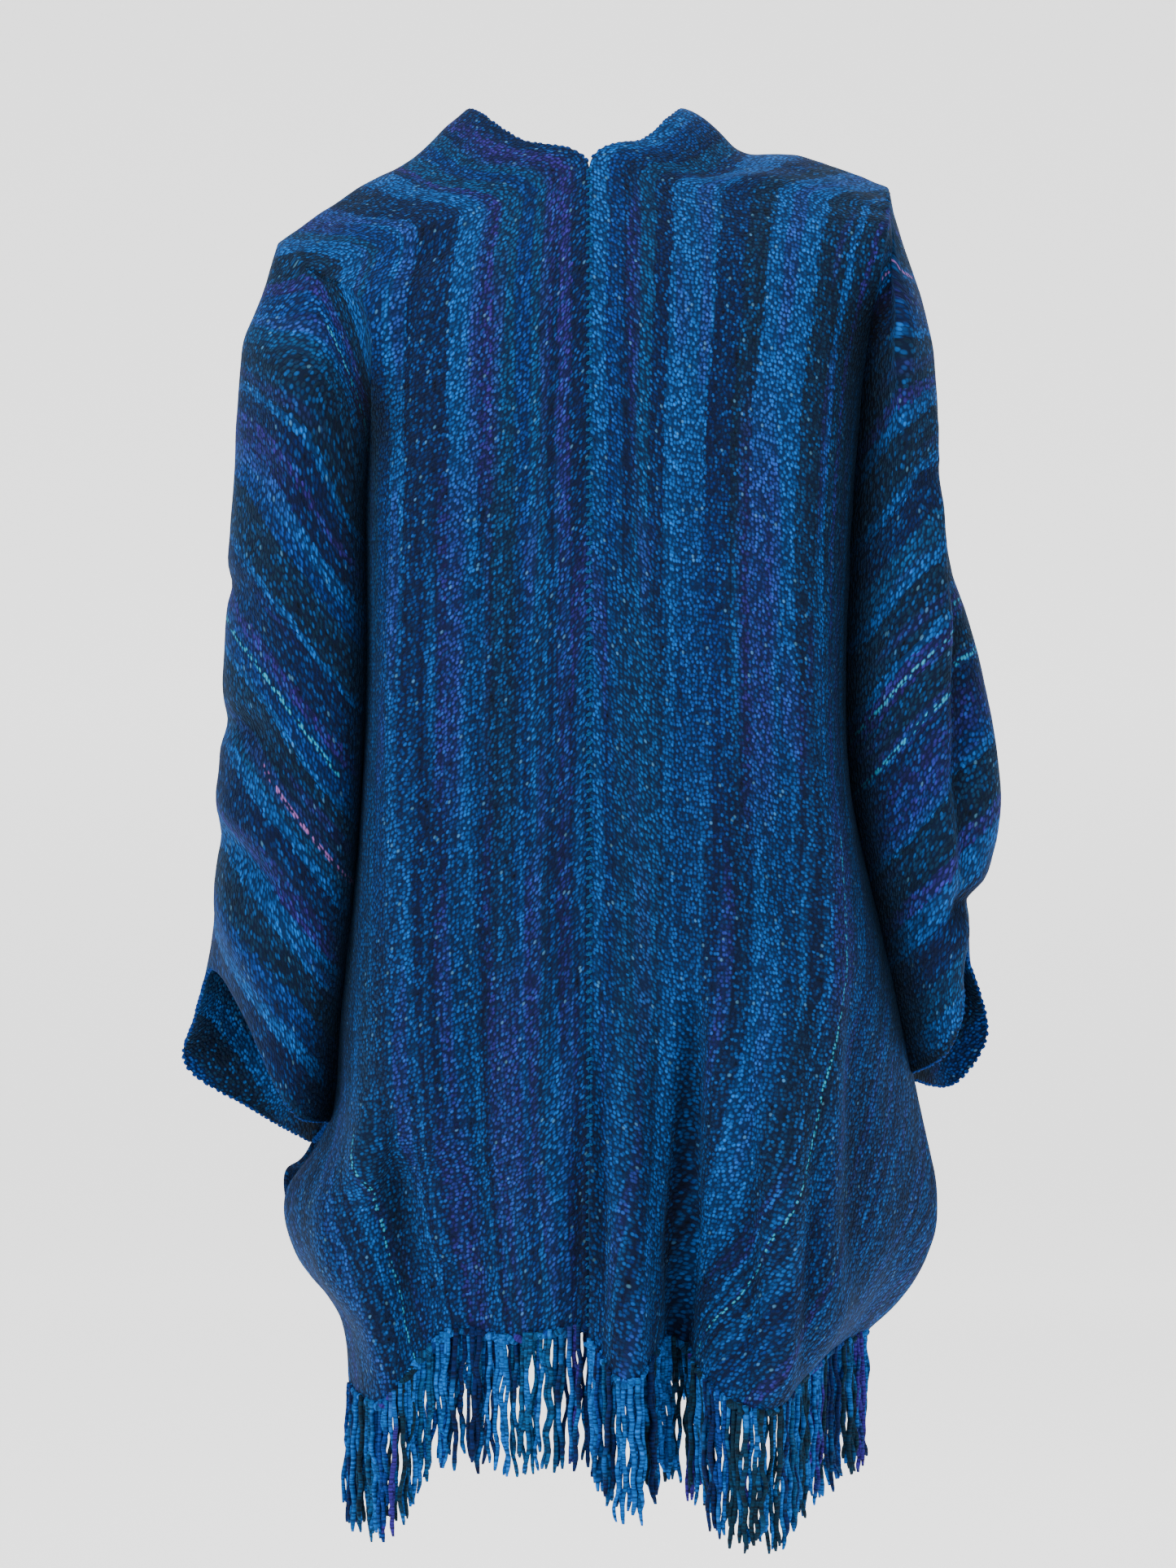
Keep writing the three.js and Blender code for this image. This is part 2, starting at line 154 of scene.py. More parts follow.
# Smaller creases, each a soft ridge or trough along a line seen from behind or in front, with
# x outward. A minus height is a trough.
CREASES = "x0 z0 x1 z1 half height"
CREASES_LEFT_BACK = table(
    CREASES,
    (110, -92, 78, -78, 11, 4), (108, -110, 82, -98, 10, -3), (103, -104, 109, -168, 8, -5),
    (116, -112, 122, -190, 12, 5), (60, -96, 20, -150, 22, 3), (90, -150, 84, -330, 16, 3),
    (52, -250, 46, -480, 18, -3), (112, -300, 108, -520, 10, 4), (30, -470, 26, -720, 16, 4),
    (66, -500, 62, -730, 13, -7), (92, -560, 84, -735, 12, 7), (118, -600, 104, -750, 8, -7),
    (134, -590, 124, -750, 8, 5), (6, -600, 4, -735, 9, -8), (150, -200, 196, -150, 16, 4),
    (150, -262, 204, -218, 13, -4), (152, -330, 208, -280, 16, 4), (158, -420, 216, -372, 14, -5),
    (160, -470, 220, -420, 13, 5), (180, -482, 222, -438, 9, -7), (180, -545, 220, -478, 11, 6),
    (150, -120, 190, -104, 14, -3), (196, -300, 226, -288, 9, -4), (194, -384, 228, -372, 10, -4),
)
CREASES_LEFT_FRONT = table(
    CREASES,
    (100, -120, 108, -260, 14, -4), (84, -160, 80, -400, 16, 3), (66, -330, 62, -600, 14, -4),
    (92, -420, 96, -700, 13, 5), (120, -480, 116, -720, 11, -5), (150, -230, 200, -180, 15, 3),
    (152, -330, 208, -290, 13, -4), (158, -430, 216, -380, 14, 4), (176, -520, 226, -486, 12, -4),
    (188, -466, 226, -442, 9, -7), (196, -312, 226, -290, 9, -4), (194, -390, 228, -374, 10, -4),
)
CREASES_RIGHT_BACK = table(
    CREASES,
    (70, -40, 100, -96, 16, -3), (44, -70, 30, -170, 20, 3), (112, -80, 128, -250, 16, 3),
    (84, -200, 88, -420, 14, 2.5), (58, -300, 60, -520, 14, -3), (124, -300, 132, -480, 12, 3),
    (102, -400, 112, -560, 16, -6), (70, -380, 76, -560, 12, 6), (60, -540, 52, -760, 8, -15),
    (76, -540, 72, -770, 11, 8), (94, -560, 90, -770, 9, -6), (114, -500, 110, -770, 12, 7),
    (134, -440, 142, -640, 12, 7), (130, -620, 124, -760, 9, -7), (150, -540, 160, -720, 12, -8),
    (24, -540, 22, -760, 9, 8), (38, -560, 40, -735, 8, -6), (3, -570, 2, -735, 8, -9),
    (203, -150, 210, -500, 9, 6), (214, -160, 221, -480, 8, -10), (176, -170, 200, -130, 14, 4),
    (180, -260, 204, -220, 12, -4), (182, -350, 206, -310, 13, 4), (190, -440, 214, -400, 12, -4),
    (196, -520, 208, -450, 9, 5), (232, -300, 240, -440, 10, 6), (202, -494, 244, -480, 10, -9),
)
CREASES_RIGHT_FRONT = table(
    CREASES,
    (96, -90, 112, -240, 14, -4), (84, -180, 88, -420, 16, 3), (64, -340, 62, -610, 14, -4),
    (100, -420, 104, -700, 13, 5), (128, -470, 136, -700, 11, -5), (176, -220, 210, -180, 15, 3),
    (178, -320, 222, -280, 13, -4), (186, -420, 236, -380, 14, 4), (202, -494, 244, -480, 10, -9),
)

SIDES = {
    "left": {
        "sign": -1, "neck_scale": 1.12, "neck_dip": 7, "outer": OUTER_LEFT,
        "sleeve": SLEEVE_LEFT, "opening": OPENING_LEFT,
        "folds": (FOLDS_LEFT_BACK, FOLDS_LEFT_FRONT),
        "creases": (CREASES_LEFT_BACK, CREASES_LEFT_FRONT),
        "slope": (24, 54), "converge": (1.3, 1.22, 1.17, 1.12, 1.04, 1),
    },
    "right": {
        "sign": 1, "neck_scale": 0.88, "neck_dip": 13, "outer": OUTER_RIGHT,
        "sleeve": SLEEVE_RIGHT, "opening": OPENING_RIGHT,
        "folds": (FOLDS_RIGHT_BACK, FOLDS_RIGHT_FRONT),
        "creases": (CREASES_RIGHT_BACK, CREASES_RIGHT_FRONT),
        "slope": (24, 52),
        "converge": (1.5, 1.42, 1.36, 1.28, 1.16, 1.04, 1, 1, 0.99, 0.95, 0.89, 0.86),
    },
}

# The finished line of each hem and rim, which the fringe and the edge bumps follow.
LINES = {}


def lerp(a, b, share):
    return a + (b - a) * share


def smoothstep(value, low, high):
    """0 below low, 1 above high, and smooth between."""
    share = min(max((value - low) / (high - low), 0.0), 1.0)
    return share * share * (3 - 2 * share)


def along(rows, column, t):
    """A smooth value between the rows of a table's column, with t counted in rows."""
    last = len(rows) - 1
    k = min(int(t), last - 1)
    at = lambda n: rows[min(max(n, 0), last)][column]
    before = at(k)
    after = at(k + 1)
    share = t - k
    slope_before = (after - at(k - 1)) / 2
    slope_after = (at(k + 2) - before) / 2
    square = share * share
    cube = square * share
    return (
        before * (2 * cube - 3 * square + 1) + slope_before * (cube - 2 * square + share)
        + after * (3 * square - 2 * cube) + slope_after * (cube - square)
    )


def point_along(rows, t):
    return Vector((along(rows, "x", t), along(rows, "y", t), along(rows, "z", t)))


@lru_cache(maxsize=None)
def body_row(side_name, level):
    """The two ends of a row of the body, and how square it turns at its outer end."""
    side = SIDES[side_name]
    inner = point_along(INNER, level)
    inner.x = max(inner.x * side["neck_scale"], 0)
    outer = point_along(side["outer"], level)
    return inner, outer, max(along(side["outer"], "square", level), 1)


def add_folds(point, share, folds, outward):
    """Folds push the cloth outward and lower the hem, more and more towards the hem."""
    calm = 1 - share ** 8
    for fold in folds:
        growth = smoothstep((point.z - fold["top"]) / (INNER[0]["z"] - fold["top"]), 0, 1)
        bell = math.exp(-(((share - fold["share"]) / fold["half"]) ** 2))
        point.y += outward * fold["height"] * bell * growth * calm
        point.z -= fold["drop"] * bell * growth ** 3 * calm


def body_point(side_name, level, share):
    """A point of the panel's body, share 0 at its inner edge and 1 at its outer line."""
    side = SIDES[side_name]
    inner, outer, square = body_row(side_name, level)
    point = inner.lerp(outer, share)
    point.y = lerp(inner.y, outer.y, share ** square)
    if level < ARMHOLE:
        add_folds(point, share, side["folds"][0], -1)
    elif level > FRONT_ARMHOLE:
        add_folds(point, share, side["folds"][1], 1)
    else:
        dip = math.exp(-(((share - 0.27) / 0.2) ** 2)) * smoothstep(share, 0, 0.27)
        point.z -= side["neck_dip"] * dip * math.sin(math.pi * (level - ARMHOLE) / ARMHOLE_LEVELS)
    return point


@lru_cache(maxsize=None)
def sleeve_section(side_name, down):
    """The sleeve's section at one height: nine points from the back crease to the front one."""
    side = SIDES[side_name]
    level = down * CREASE_LEVELS
    reading = {name: along(side["sleeve"], name, level) for name in side["sleeve"][0]}

    def half(crease, swell):
        x, z = reading["x"], reading["z"]
        return [
            {"x": crease.x, "y": crease.y, "z": crease.z},
            {"x": crease.x + reading["gape"], "y": swell * 0.84, "z": lerp(crease.z, z, 0.15)},
            {"x": lerp(crease.x, x, 0.55), "y": swell, "z": lerp(crease.z, z, 0.5)},
            {"x": lerp(crease.x, x, 0.92), "y": swell * 0.6, "z": lerp(crease.z, z, 0.9)},
        ]

    back = half(point_along(side["outer"], ARMHOLE - level), -reading["back"])
    front = half(point_along(side["outer"], FRONT_ARMHOLE + level), reading["front"])
    return back + [{"x": reading["x"], "y": 0, "z": reading["z"]}] + front[::-1]


def loose_sleeve_point(side_name, down, turn):
    """A point of the sleeve before its edges are drawn to the creases."""
    side = SIDES[side_name]
    section = sleeve_section(side_name, down)
    free = point_along(section, turn * (len(section) - 1))
    armhole = point_along(side["outer"], ARMHOLE + turn * ARMHOLE_LEVELS)
    opening = point_along(side["opening"], turn * (len(side["opening"]) - 1))
    armhole.z -= (armhole.z - free.z) * smoothstep(down, 0, 0.15)
    point = armhole.lerp(free, smoothstep(down, 0, 0.16))
    return point.lerp(opening, smoothstep(down, 0.7, 1))


def sleeve_point(side_name, down, turn):
    """A point of the sleeve: down 0 at the armhole and 1 at the opening, turn 0 at the back
    crease and 1 at the front one."""
    side = SIDES[side_name]
    point = loose_sleeve_point(side_name, down, turn)
    drop = down * CREASE_LEVELS
    for end, level in ((0, ARMHOLE - drop), (1, FRONT_ARMHOLE + drop)):
        drawn = 1 - smoothstep(abs(turn - end), 0, 0.12)
        if drawn > 0:
            crease = point_along(side["outer"], level)
            point += (crease - loose_sleeve_point(side_name, down, end)) * drawn
    return point


def level_of_row(row, rows):
    """The place in the tables of a row of the body's grid."""
    side_rows, crease_rows, armhole_rows = rows
    armhole_row = side_rows + crease_rows
    if row <= side_rows:
        return row / side_rows * TACK
    if row <= armhole_row:
        return TACK + (row - side_rows) / crease_rows * CREASE_LEVELS
    if row <= armhole_row + armhole_rows:
        return ARMHOLE + (row - armhole_row) / armhole_rows * ARMHOLE_LEVELS
    return FRONT_HEM - level_of_row(2 * armhole_row + armhole_rows - row, rows)


def grid_vertices(bm, across, down):
    """A new flat grid, and its vertices by column and row."""
    found = bmesh.ops.create_grid(bm, x_segments=across, y_segments=down, size=0.5)["verts"]
    placed = {}
    for vertex in found:
        column = round((vertex.co.x + 0.5) * across)
        row = round((vertex.co.y + 0.5) * down)
        placed[column, row] = vertex
    return placed


def running_lengths(points):
    """The distance along a line of points, from its first one."""
    lengths = [0.0]
    for a, b in zip(points, points[1:]):
        lengths.append(lengths[-1] + (b - a).length)
    return lengths


def crease_push(creases, sign, point):
    """How far the smaller creases push the cloth outward at a point, in millimetres."""
    x = point.x * sign
    push = 0.0
    for crease in creases:
        length_x = crease["x1"] - crease["x0"]
        length_z = crease["z1"] - crease["z0"]
        squared = length_x * length_x + length_z * length_z
        share = ((x - crease["x0"]) * length_x + (point.z - crease["z0"]) * length_z) / squared
        if -0.35 < share < 1.35:
            near = min(max(share, 0.0), 1.0)
            off_x = x - crease["x0"] - near * length_x
            off_z = point.z - crease["z0"] - near * length_z
            apart = (off_x * off_x + off_z * off_z) / crease["half"] ** 2
            if apart < 9:
                taper = 0.35 + 0.65 * math.sin(math.pi * near) ** 0.7
                push += crease["height"] * math.exp(-apart) * taper
    return push


def stripe_slope(slopes, drop):
    """The angle between a sleeve's stripes and the level, at a drop below the shoulder."""
    return math.radians(lerp(slopes[0], slopes[1], smoothstep(drop, 90, 260)))


def spacing_of_stripes(slopes):
    """The cloth's width between the shoulder and each whole millimetre below it."""
    depths = [0.0]
    for drop in range(900):
        depths.append(depths[-1] + math.cos(stripe_slope(slopes, drop)))
    return depths


def stripe_depth(depths, slopes, point):
    """How far across the stripes a point of the sleeve lies."""
    drop = max(-point.z, 0.0)
    whole = int(drop)
    fall = lerp(depths[whole], depths[whole + 1], drop - whole)
    return fall + math.sin(stripe_slope(slopes, drop)) * (point.x - SLEEVE_MIDDLE)


def from_hem(level):
    """How many levels lie between a level and the nearer hem."""
    return min(level, FRONT_HEM - level)


def convergence(side, level):
    """How many millimetres of stripes each millimetre of cloth holds."""
    steps = side["converge"]
    low = from_hem(level)
    k = min(int(low), len(steps) - 2)
    return lerp(steps[k], steps[k + 1], smoothstep(low - k, 0, 1))


def cloth_of_body(side, levels, body):
    """The body's points by column and row, as shape_of_panel gives them."""
    shoulder_row = (len(body) - 1) // 2
    warp = []
    for column in zip(*body):
        lengths = running_lengths(column)
        warp.append([value - lengths[shoulder_row] for value in lengths])
    cloth = {}
    for row, (level, line) in enumerate(zip(levels, body)):
        lengths = running_lengths(line)
        converge = convergence(side, level)
        low = from_hem(level)
        deep = smoothstep(ARMHOLE - low, 0, 0.7) * smoothstep(low - TACK, -0.3, 0.5)
        for c, point in enumerate(line):
            u = lengths[c] * MM
            from_crease = lengths[-1] - lengths[c] + SLEEVE_OPEN * (1 - deep)
            cloth[c, row] = (point, u, warp[c][row] * MM, u * converge, from_crease)
    return cloth


def cloth_of_sleeve(side, edge, sleeve):
    """The sleeve's points by turn and row, as shape_of_panel gives them. Its stripes carry on
    from the body's edge, whose stripe coordinate is given for each turn."""
    middle = len(edge) // 2
    depths = spacing_of_stripes(side["slope"])
    starts = [at - stripe_depth(depths, side["slope"], point)
              for at, point in zip(edge, sleeve[0])]
    cloth = {}
    for row, line in enumerate(sleeve):
        lengths = running_lengths(line)
        down = row / (len(sleeve) - 1)
        settled = smoothstep(down, 0, 0.35)
        for turn, point in enumerate(line):
            start = lerp(starts[turn], starts[middle], settled)
            u = (start + stripe_depth(depths, side["slope"], point)) * MM
            across = lengths[turn] - lengths[middle]
            from_crease = min(lengths[turn], lengths[-1] - lengths[turn])
            from_crease += SLEEVE_OPEN * (1 - smoothstep(down, 0, 0.15))
            cloth[turn, row] = (point, u, across * MM, u, from_crease)
    return cloth


def shape_of_panel(side_name, rows, columns):
    """The panel's two grids of points in millimetres, with their cloth coordinates in metres.
    Each entry is (point, weave u, weave v, stripe u, millimetres from the crease line)."""
    side = SIDES[side_name]
    side_rows, crease_rows, armhole_rows = rows
    armhole_row = side_rows + crease_rows
    row_count = 2 * armhole_row + armhole_rows
    shares = [1 - (1 - c / columns) ** 1.1 for c in range(columns + 1)]
    levels = [level_of_row(row, rows) for row in range(row_count + 1)]
    body = [[body_point(side_name, level, share) for share in shares] for level in levels]
    edge = [running_lengths(body[row])[-1] * convergence(side, levels[row])
            for row in range(armhole_row, armhole_row + armhole_rows + 1)]
    sleeve = [
        [sleeve_point(side_name, down / crease_rows, turn / armhole_rows)
         for turn in range(armhole_rows + 1)]
        for down in range(crease_rows + 1)
    ]
    return cloth_of_body(side, levels, body), cloth_of_sleeve(side, edge, sleeve), row_count


def mesh_of(bm, name):
    mesh = bpy.data.meshes.new(name)
    bm.to_mesh(mesh)
    bm.free()
    return mesh


def new_object(name, bm, material, replaced=()):
    """A finished piece: its mesh, material and body, with the solids it replaces hidden."""
    mesh = mesh_of(bm, name)
    mesh.materials.append(material)
    mesh.shade_smooth()
    piece = bpy.data.objects.new(name, mesh)
    bpy.context.scene.collection.objects.link(piece)
    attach(piece, "root")
    if replaced:
        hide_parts(*replaced)
    return piece


def lay_grid(bm, cloth, across, down, sign, from_crease):
    """One grid of a panel on its points, with the cloth coordinates at its corners."""
    weave = bm.loops.layers.uv["weave"]
    stripe = bm.loops.layers.uv["stripe"]
    placed = grid_vertices(bm, across, down)
    for cell, vertex in placed.items():
        point, u, v, stripe_u, from_crease[vertex] = cloth[cell]
        vertex.co = (point.x * sign * MM, point.y * MM, point.z * MM)
        for loop in vertex.link_loops:
            loop[weave].uv = (u, v)
            loop[stripe].uv = (stripe_u, v)
    return placed


def sew_sleeve(bm, body, sleeve, sizes):
    """The sleeve's edges welded to the armhole and both creases, and all faces turned outward."""
    columns = sizes.body_columns
    turns = sizes.armhole_rows
    first = sizes.side_rows + sizes.crease_rows
    weld = {sleeve[turn, 0]: body[columns, first + turn] for turn in range(turns + 1)}
    for down in range(1, sizes.crease_rows + 1):
        weld[sleeve[0, down]] = body[columns, first - down]
        weld[sleeve[turns, down]] = body[columns, first + turns + down]
    bmesh.ops.weld_verts(bm, targetmap=weld)
    bmesh.ops.recalc_face_normals(bm, faces=bm.faces)
    bm.normal_update()
    middle = body[columns // 3, sizes.side_rows + sizes.crease_rows // 2]
    if middle.normal.y > 0:
        bmesh.ops.reverse_faces(bm, faces=bm.faces)
        bm.normal_update()


def crease_cloth(bm, side, sizes, from_crease):
    """Creases and a little unevenness push the cloth out, and painted shade goes in a UV map."""
    sign = side["sign"]
    hollow = bm.loops.layers.uv["hollow"]
    pushes = {}
    for vertex in bm.verts:
        point = vertex.co / MM
        facing = vertex.normal.y
        back_push, front_push = (crease_push(creases, sign, point) for creases in side["creases"])
        reach = min(1.0, abs(facing) * 1.6 + smoothstep(abs(point.x), 190, 215))
        push = lerp(back_push, front_push, smoothstep(facing, -0.3, 0.3)) * reach
        # Painted shade: the colour is darkened near the sleeve's crease and in the creases'
        # troughs.
        light = smoothstep(from_crease[vertex], *CREASE_SHADE)
        trough = smoothstep(-push, *TROUGH_SHADE)
        for loop in vertex.link_loops:
            loop[hollow].uv = (light, 1 - trough)
        grain = Vector((point.x * 0.03, point.y * 0.03, point.z * 0.008 + 7 * sign))
        push += sizes.ripple / MM * noise.noise(grain)
        fine = Vector((point.x * 0.09, point.y * 0.09, point.z * 0.05 + 3 * sign))
        push += 0.35 * sizes.ripple / MM * noise.noise(fine)
        calm = smoothstep(abs(point.x), 0, sizes.seam_hold / MM) if point.y < 0 else 1.0
        pushes[vertex] = vertex.normal * (push * calm * MM)
    for vertex, push in pushes.items():
        vertex.co += push
    bm.normal_update()


def build_panel(side_name, sizes, material):
    """One panel: its body and sleeve grids shaped, sewn together and creased."""
    side = SIDES[side_name]
    rows = (sizes.side_rows, sizes.crease_rows, sizes.armhole_rows)
    columns = sizes.body_columns
    body_cloth, sleeve_cloth, row_count = shape_of_panel(side_name, rows, columns)
    bm = bmesh.new()
    for name in ("weave", "stripe", "hollow"):
        bm.loops.layers.uv.new(name)
    from_crease = {}
    body = lay_grid(bm, body_cloth, columns, row_count, side["sign"], from_crease)
    sleeve = lay_grid(bm, sleeve_cloth, sizes.armhole_rows, sizes.crease_rows, side["sign"],
                      from_crease)
    lines = {
        "back_hem": [body[c, 0] for c in range(columns + 1)],
        "front_hem": [body[c, row_count] for c in range(columns + 1)],
        "inner": [body[0, row] for row in range(row_count + 1)],
        "opening": [sleeve[t, sizes.crease_rows] for t in range(1, sizes.armhole_rows)],
    }
    sew_sleeve(bm, body, sleeve, sizes)
    crease_cloth(bm, side, sizes, from_crease)
    for name, line in lines.items():
        LINES[side_name, name] = [(v.co.copy(), v.normal.copy()) for v in line]
    for name, row in (("back_hem", 0), ("front_hem", row_count)):
        LINES[side_name, name + "_u"] = [body_cloth[c, row][3] for c in range(columns + 1)]
    piece = new_object("cloth_" + side_name, bm, material, ["panel_" + side_name])
    wall = piece.modifiers.new("wall", "SOLIDIFY")
    wall.thickness = sizes.wall
    wall.offset = 0
    return piece


def strand_template(sides, rings):
    """A straight closed tube of radius 1 from z = -0.5 to 0.5, to be bent into a yarn."""
    bm = bmesh.new()
    bmesh.ops.create_cone(bm, cap_ends=True, segments=sides, radius1=1, radius2=1, depth=1)
    long_edges = [e for e in bm.edges if abs(e.verts[0].co.z - e.verts[1].co.z) > 0.5]
    bmesh.ops.subdivide_edges(bm, edges=long_edges, cuts=rings - 1, use_grid_fill=True)
    return mesh_of(bm, "strand")


def repeated(template, placings):
    """Many copies of a mesh in one bmesh, each bent by its own placing, which turns a template
    point into (place, stripe u, length along)."""
    bm = bmesh.new()
    for unused in placings:
        bm.from_mesh(template)
    stripe = bm.loops.layers.uv.new("stripe")
    count = len(template.vertices)
    cloth = {}
    for k, vertex in enumerate(bm.verts):
        place, u, v = placings[k // count](vertex.co.copy())
        vertex.co = place
        cloth[vertex] = (u, v)
    for face in bm.faces:
        for loop in face.loops:
            loop[stripe].uv = cloth[loop.vert]
    bpy.data.meshes.remove(template)
    return bm


def line_steps(line, pitch, rng, jitter):
    """Points at an even pitch along a line, as (place, normal, share of the line)."""
    lengths = running_lengths([place for place, normal in line])
    total = lengths[-1]
    count = max(1, round(total / pitch))
    steps = []
    k = 0
    for n in range(count):
        at = (n + 0.5 + rng.uniform(-jitter, jitter)) / count * total
        while k < len(line) - 2 and lengths[k + 1] < at:
            k += 1
        share = (at - lengths[k]) / max(lengths[k + 1] - lengths[k], 1e-9)
        place = line[k][0].lerp(line[k + 1][0], share)
        normal = line[k][1].lerp(line[k + 1][1], share).normalized()
        steps.append((place, normal, (k + share) / (len(line) - 1)))
    return steps


def yarn_placing(root, normal, u, sizes, rng, lean, phase):
    """How one fringe yarn hangs: it starts inside the hem and waves down to its own length."""
    length = sizes.fringe_length * rng.uniform(0.9, 1.1)
    radius = sizes.yarn_width / 2 * rng.uniform(0.8, 1.15)
    sway = [(rng.uniform(0.4, 1.5) * MM, rng.uniform(0.7, 1.4), phase + rng.uniform(-1, 1)),
            (rng.uniform(0.3, 1.1) * MM, rng.uniform(2.0, 3.8), rng.uniform(0, 6.3))]
    out = normal * rng.uniform(-3.6, 3.2) * MM
    seed = rng.uniform(0, 100)

    def placing(co):
        along_share = 0.5 - co.z
        fall = along_share * length
        side_sway = sum(a * math.sin(6.283 * f * along_share + p) for a, f, p in sway)
        deep_sway = sum(a * math.cos(5.1 * f * along_share + p) for a, f, p in sway)
        grown = smoothstep(along_share, 0, 0.35)
        pile = 1 + 0.3 * noise.noise(Vector((co.x * 1.2, co.y * 1.2, fall * 420 + seed)))
        taper = 1 - 0.45 * smoothstep(along_share, 0.95, 1)
        section = Vector((co.x, co.y, 0)) * radius * pile * taper
        place = root + out + section
        place.x += side_sway * grown + lean.x * along_share
        place.y += deep_sway * grown * 0.8 + lean.y * along_share
        place.z += 3 * MM - fall
        return place, u, fall + seed

    return placing


def build_fringe(side_name, run, sizes, material, seed):
    """The yarns of one hem in two uneven rows, joined in one piece."""
    rng = random.Random(seed)
    line = LINES[side_name, run + "_hem"]
    stripe_u = LINES[side_name, run + "_hem_u"]
    placings = []
    lean = Vector((0, 0, 0))
    phase = 0.0
    for n, (place, normal, share) in enumerate(line_steps(line, sizes.yarn_pitch, rng, 0.3)):
        if n % 4 == 0:
            lean = Vector((rng.uniform(-3.5, 3.5), rng.uniform(-3, 3), 0)) * MM
            phase = rng.uniform(0, 6.3)
        k = share * (len(stripe_u) - 1)
        low = min(int(k), len(stripe_u) - 2)
        u = lerp(stripe_u[low], stripe_u[low + 1], k - low) + rng.uniform(-9, 9) * MM
        placings.append(yarn_placing(place, normal, u, sizes, rng, lean, phase))
    bm = repeated(strand_template(sides=6, rings=34), placings)
    name = "fringe_" + run + "_yarns_" + side_name
    return new_object(name, bm, material, ["fringe_" + run + "_" + side_name])


def direction_at(steps, n):
    """The way a line runs at one of its steps."""
    after = steps[min(n + 1, len(steps) - 1)][0]
    before = steps[max(n - 1, 0)][0]
    return (after - before).normalized()


def build_beads(name, placings, material):
    """Soft bumps of yarn, joined in one piece."""
    bm = bmesh.new()
    bmesh.ops.create_uvsphere(bm, u_segments=10, v_segments=7, radius=1)
    return new_object(name, repeated(mesh_of(bm, "bead"), placings), material)


def bead_placing(place, direction, normal, size, turn, u, seed):
    """A soft yarn bump at a place: long along a direction that is turned about the normal."""
    across = normal.cross(direction).normalized()
    long_way = (direction * math.cos(turn) + across * math.sin(turn)).normalized()
    wide_way = normal.cross(long_way).normalized()

    def placing(co):
        pile = 1 + 0.22 * noise.noise(co * 2.3 + Vector((seed, 0, 0)))
        spot = long_way * co.x * size[0] + wide_way * co.y * size[1] + normal * co.z * size[2]
        return place + spot * pile, u, co.x * size[0] + seed

    return placing


def build_knots(side_name, run, sizes, material, seed):
    """The header along a hem: slanted loops of yarn that hold the fringe."""
    rng = random.Random(seed)
    line = LINES[side_name, run + "_hem"]
    stripe_u = LINES[side_name, run + "_hem_u"]
    steps = line_steps(line, sizes.knot_pitch, rng, 0.25)
    placings = []
    for n, (place, normal, share) in enumerate(steps):
        u = stripe_u[min(round(share * (len(stripe_u) - 1)), len(stripe_u) - 1)]
        u += rng.uniform(-8, 8) * MM
        size = Vector((rng.uniform(3.4, 5.6), rng.uniform(1.9, 2.6), rng.uniform(2.3, 3.0))) * MM
        turn = rng.choice((-1, 1)) * rng.uniform(0.15, 0.9)
        spot = place + Vector((0, 0, rng.uniform(-1.5, 0.8) * MM)) + normal * 0.3 * MM
        placings.append(bead_placing(spot, direction_at(steps, n), normal, size, turn, u,
                                     rng.uniform(0, 50)))
    return build_beads("knots_" + run + "_" + side_name, placings, material)


def build_selvedge(side_name, sizes, material, seed):
    """The turns of the weft that show as bumps along the neck, front and sleeve edges."""
    rng = random.Random(seed)
    inner = LINES[side_name, "inner"]
    nape = next(k for k, (place, normal) in enumerate(inner) if abs(place.x) > 0.8 * MM)
    placings = []
    for line in (inner[nape:-1], LINES[side_name, "opening"]):
        steps = line_steps(line, sizes.bump_pitch, rng, 0.15)
        for n, (place, normal, share) in enumerate(steps):
            size = Vector((rng.uniform(1.5, 2.3), rng.uniform(1.0, 1.5), 1.3)) * MM
            u = rng.uniform(0, 60) * MM
            turn = rng.uniform(-0.5, 0.5)
            placings.append(bead_placing(place, direction_at(steps, n), normal, size, turn, u,
                                         rng.uniform(0, 50)))
    return build_beads("selvedge_" + side_name, placings, material)


def build_seam(sizes, material, seed):
    """Small stitches across the seam down the middle of the back."""
    rng = random.Random(seed)
    inner = [(p, n) for p, n in LINES["left", "inner"] if abs(p.x) < 0.8 * MM and p.y < 0]
    placings = []
    for place, normal, share in line_steps(inner, sizes.stitch_pitch, rng, 0.1):
        size = Vector((2.2, 1.1, 0.8)) * MM
        out = Vector((0, -sizes.wall / 2, 0))
        spot = Vector((0, place.y, place.z)) + out
        placings.append(bead_placing(spot, Vector((1, 0, 0)), Vector((0, -1, 0)), size,
                                     rng.uniform(0.2, 0.6), rng.uniform(0, 30) * MM, share))
    return build_beads("seam_stitches", placings, material)


def build_tack(side_name, sizes, material, seed):
    """The stitches that close each panel's outer edges together under the sleeve."""
    rng = random.Random(seed)
    side = SIDES[side_name]
    back = point_along(side["outer"], TACK)
    front = point_along(side["outer"], FRONT_TACK)
    placings = []
    for n in range(sizes.tack_stitches):
        share = (n + 0.5) / sizes.tack_stitches
        point = back.lerp(front, share)
        point.x *= side["sign"]
        spot = point * MM + Vector((0, 0, rng.uniform(-0.6, 0.6) * MM))
        direction = Vector((0, 1, 0.3)).normalized()
        normal = Vector((side["sign"], 0, 0))
        size = Vector((2.2, 1.5, 1.5)) * MM
        placings.append(bead_placing(spot, direction, normal, size, rng.uniform(0.4, 1.1), 0, n))
    return build_beads("tack_" + side_name, placings, material)


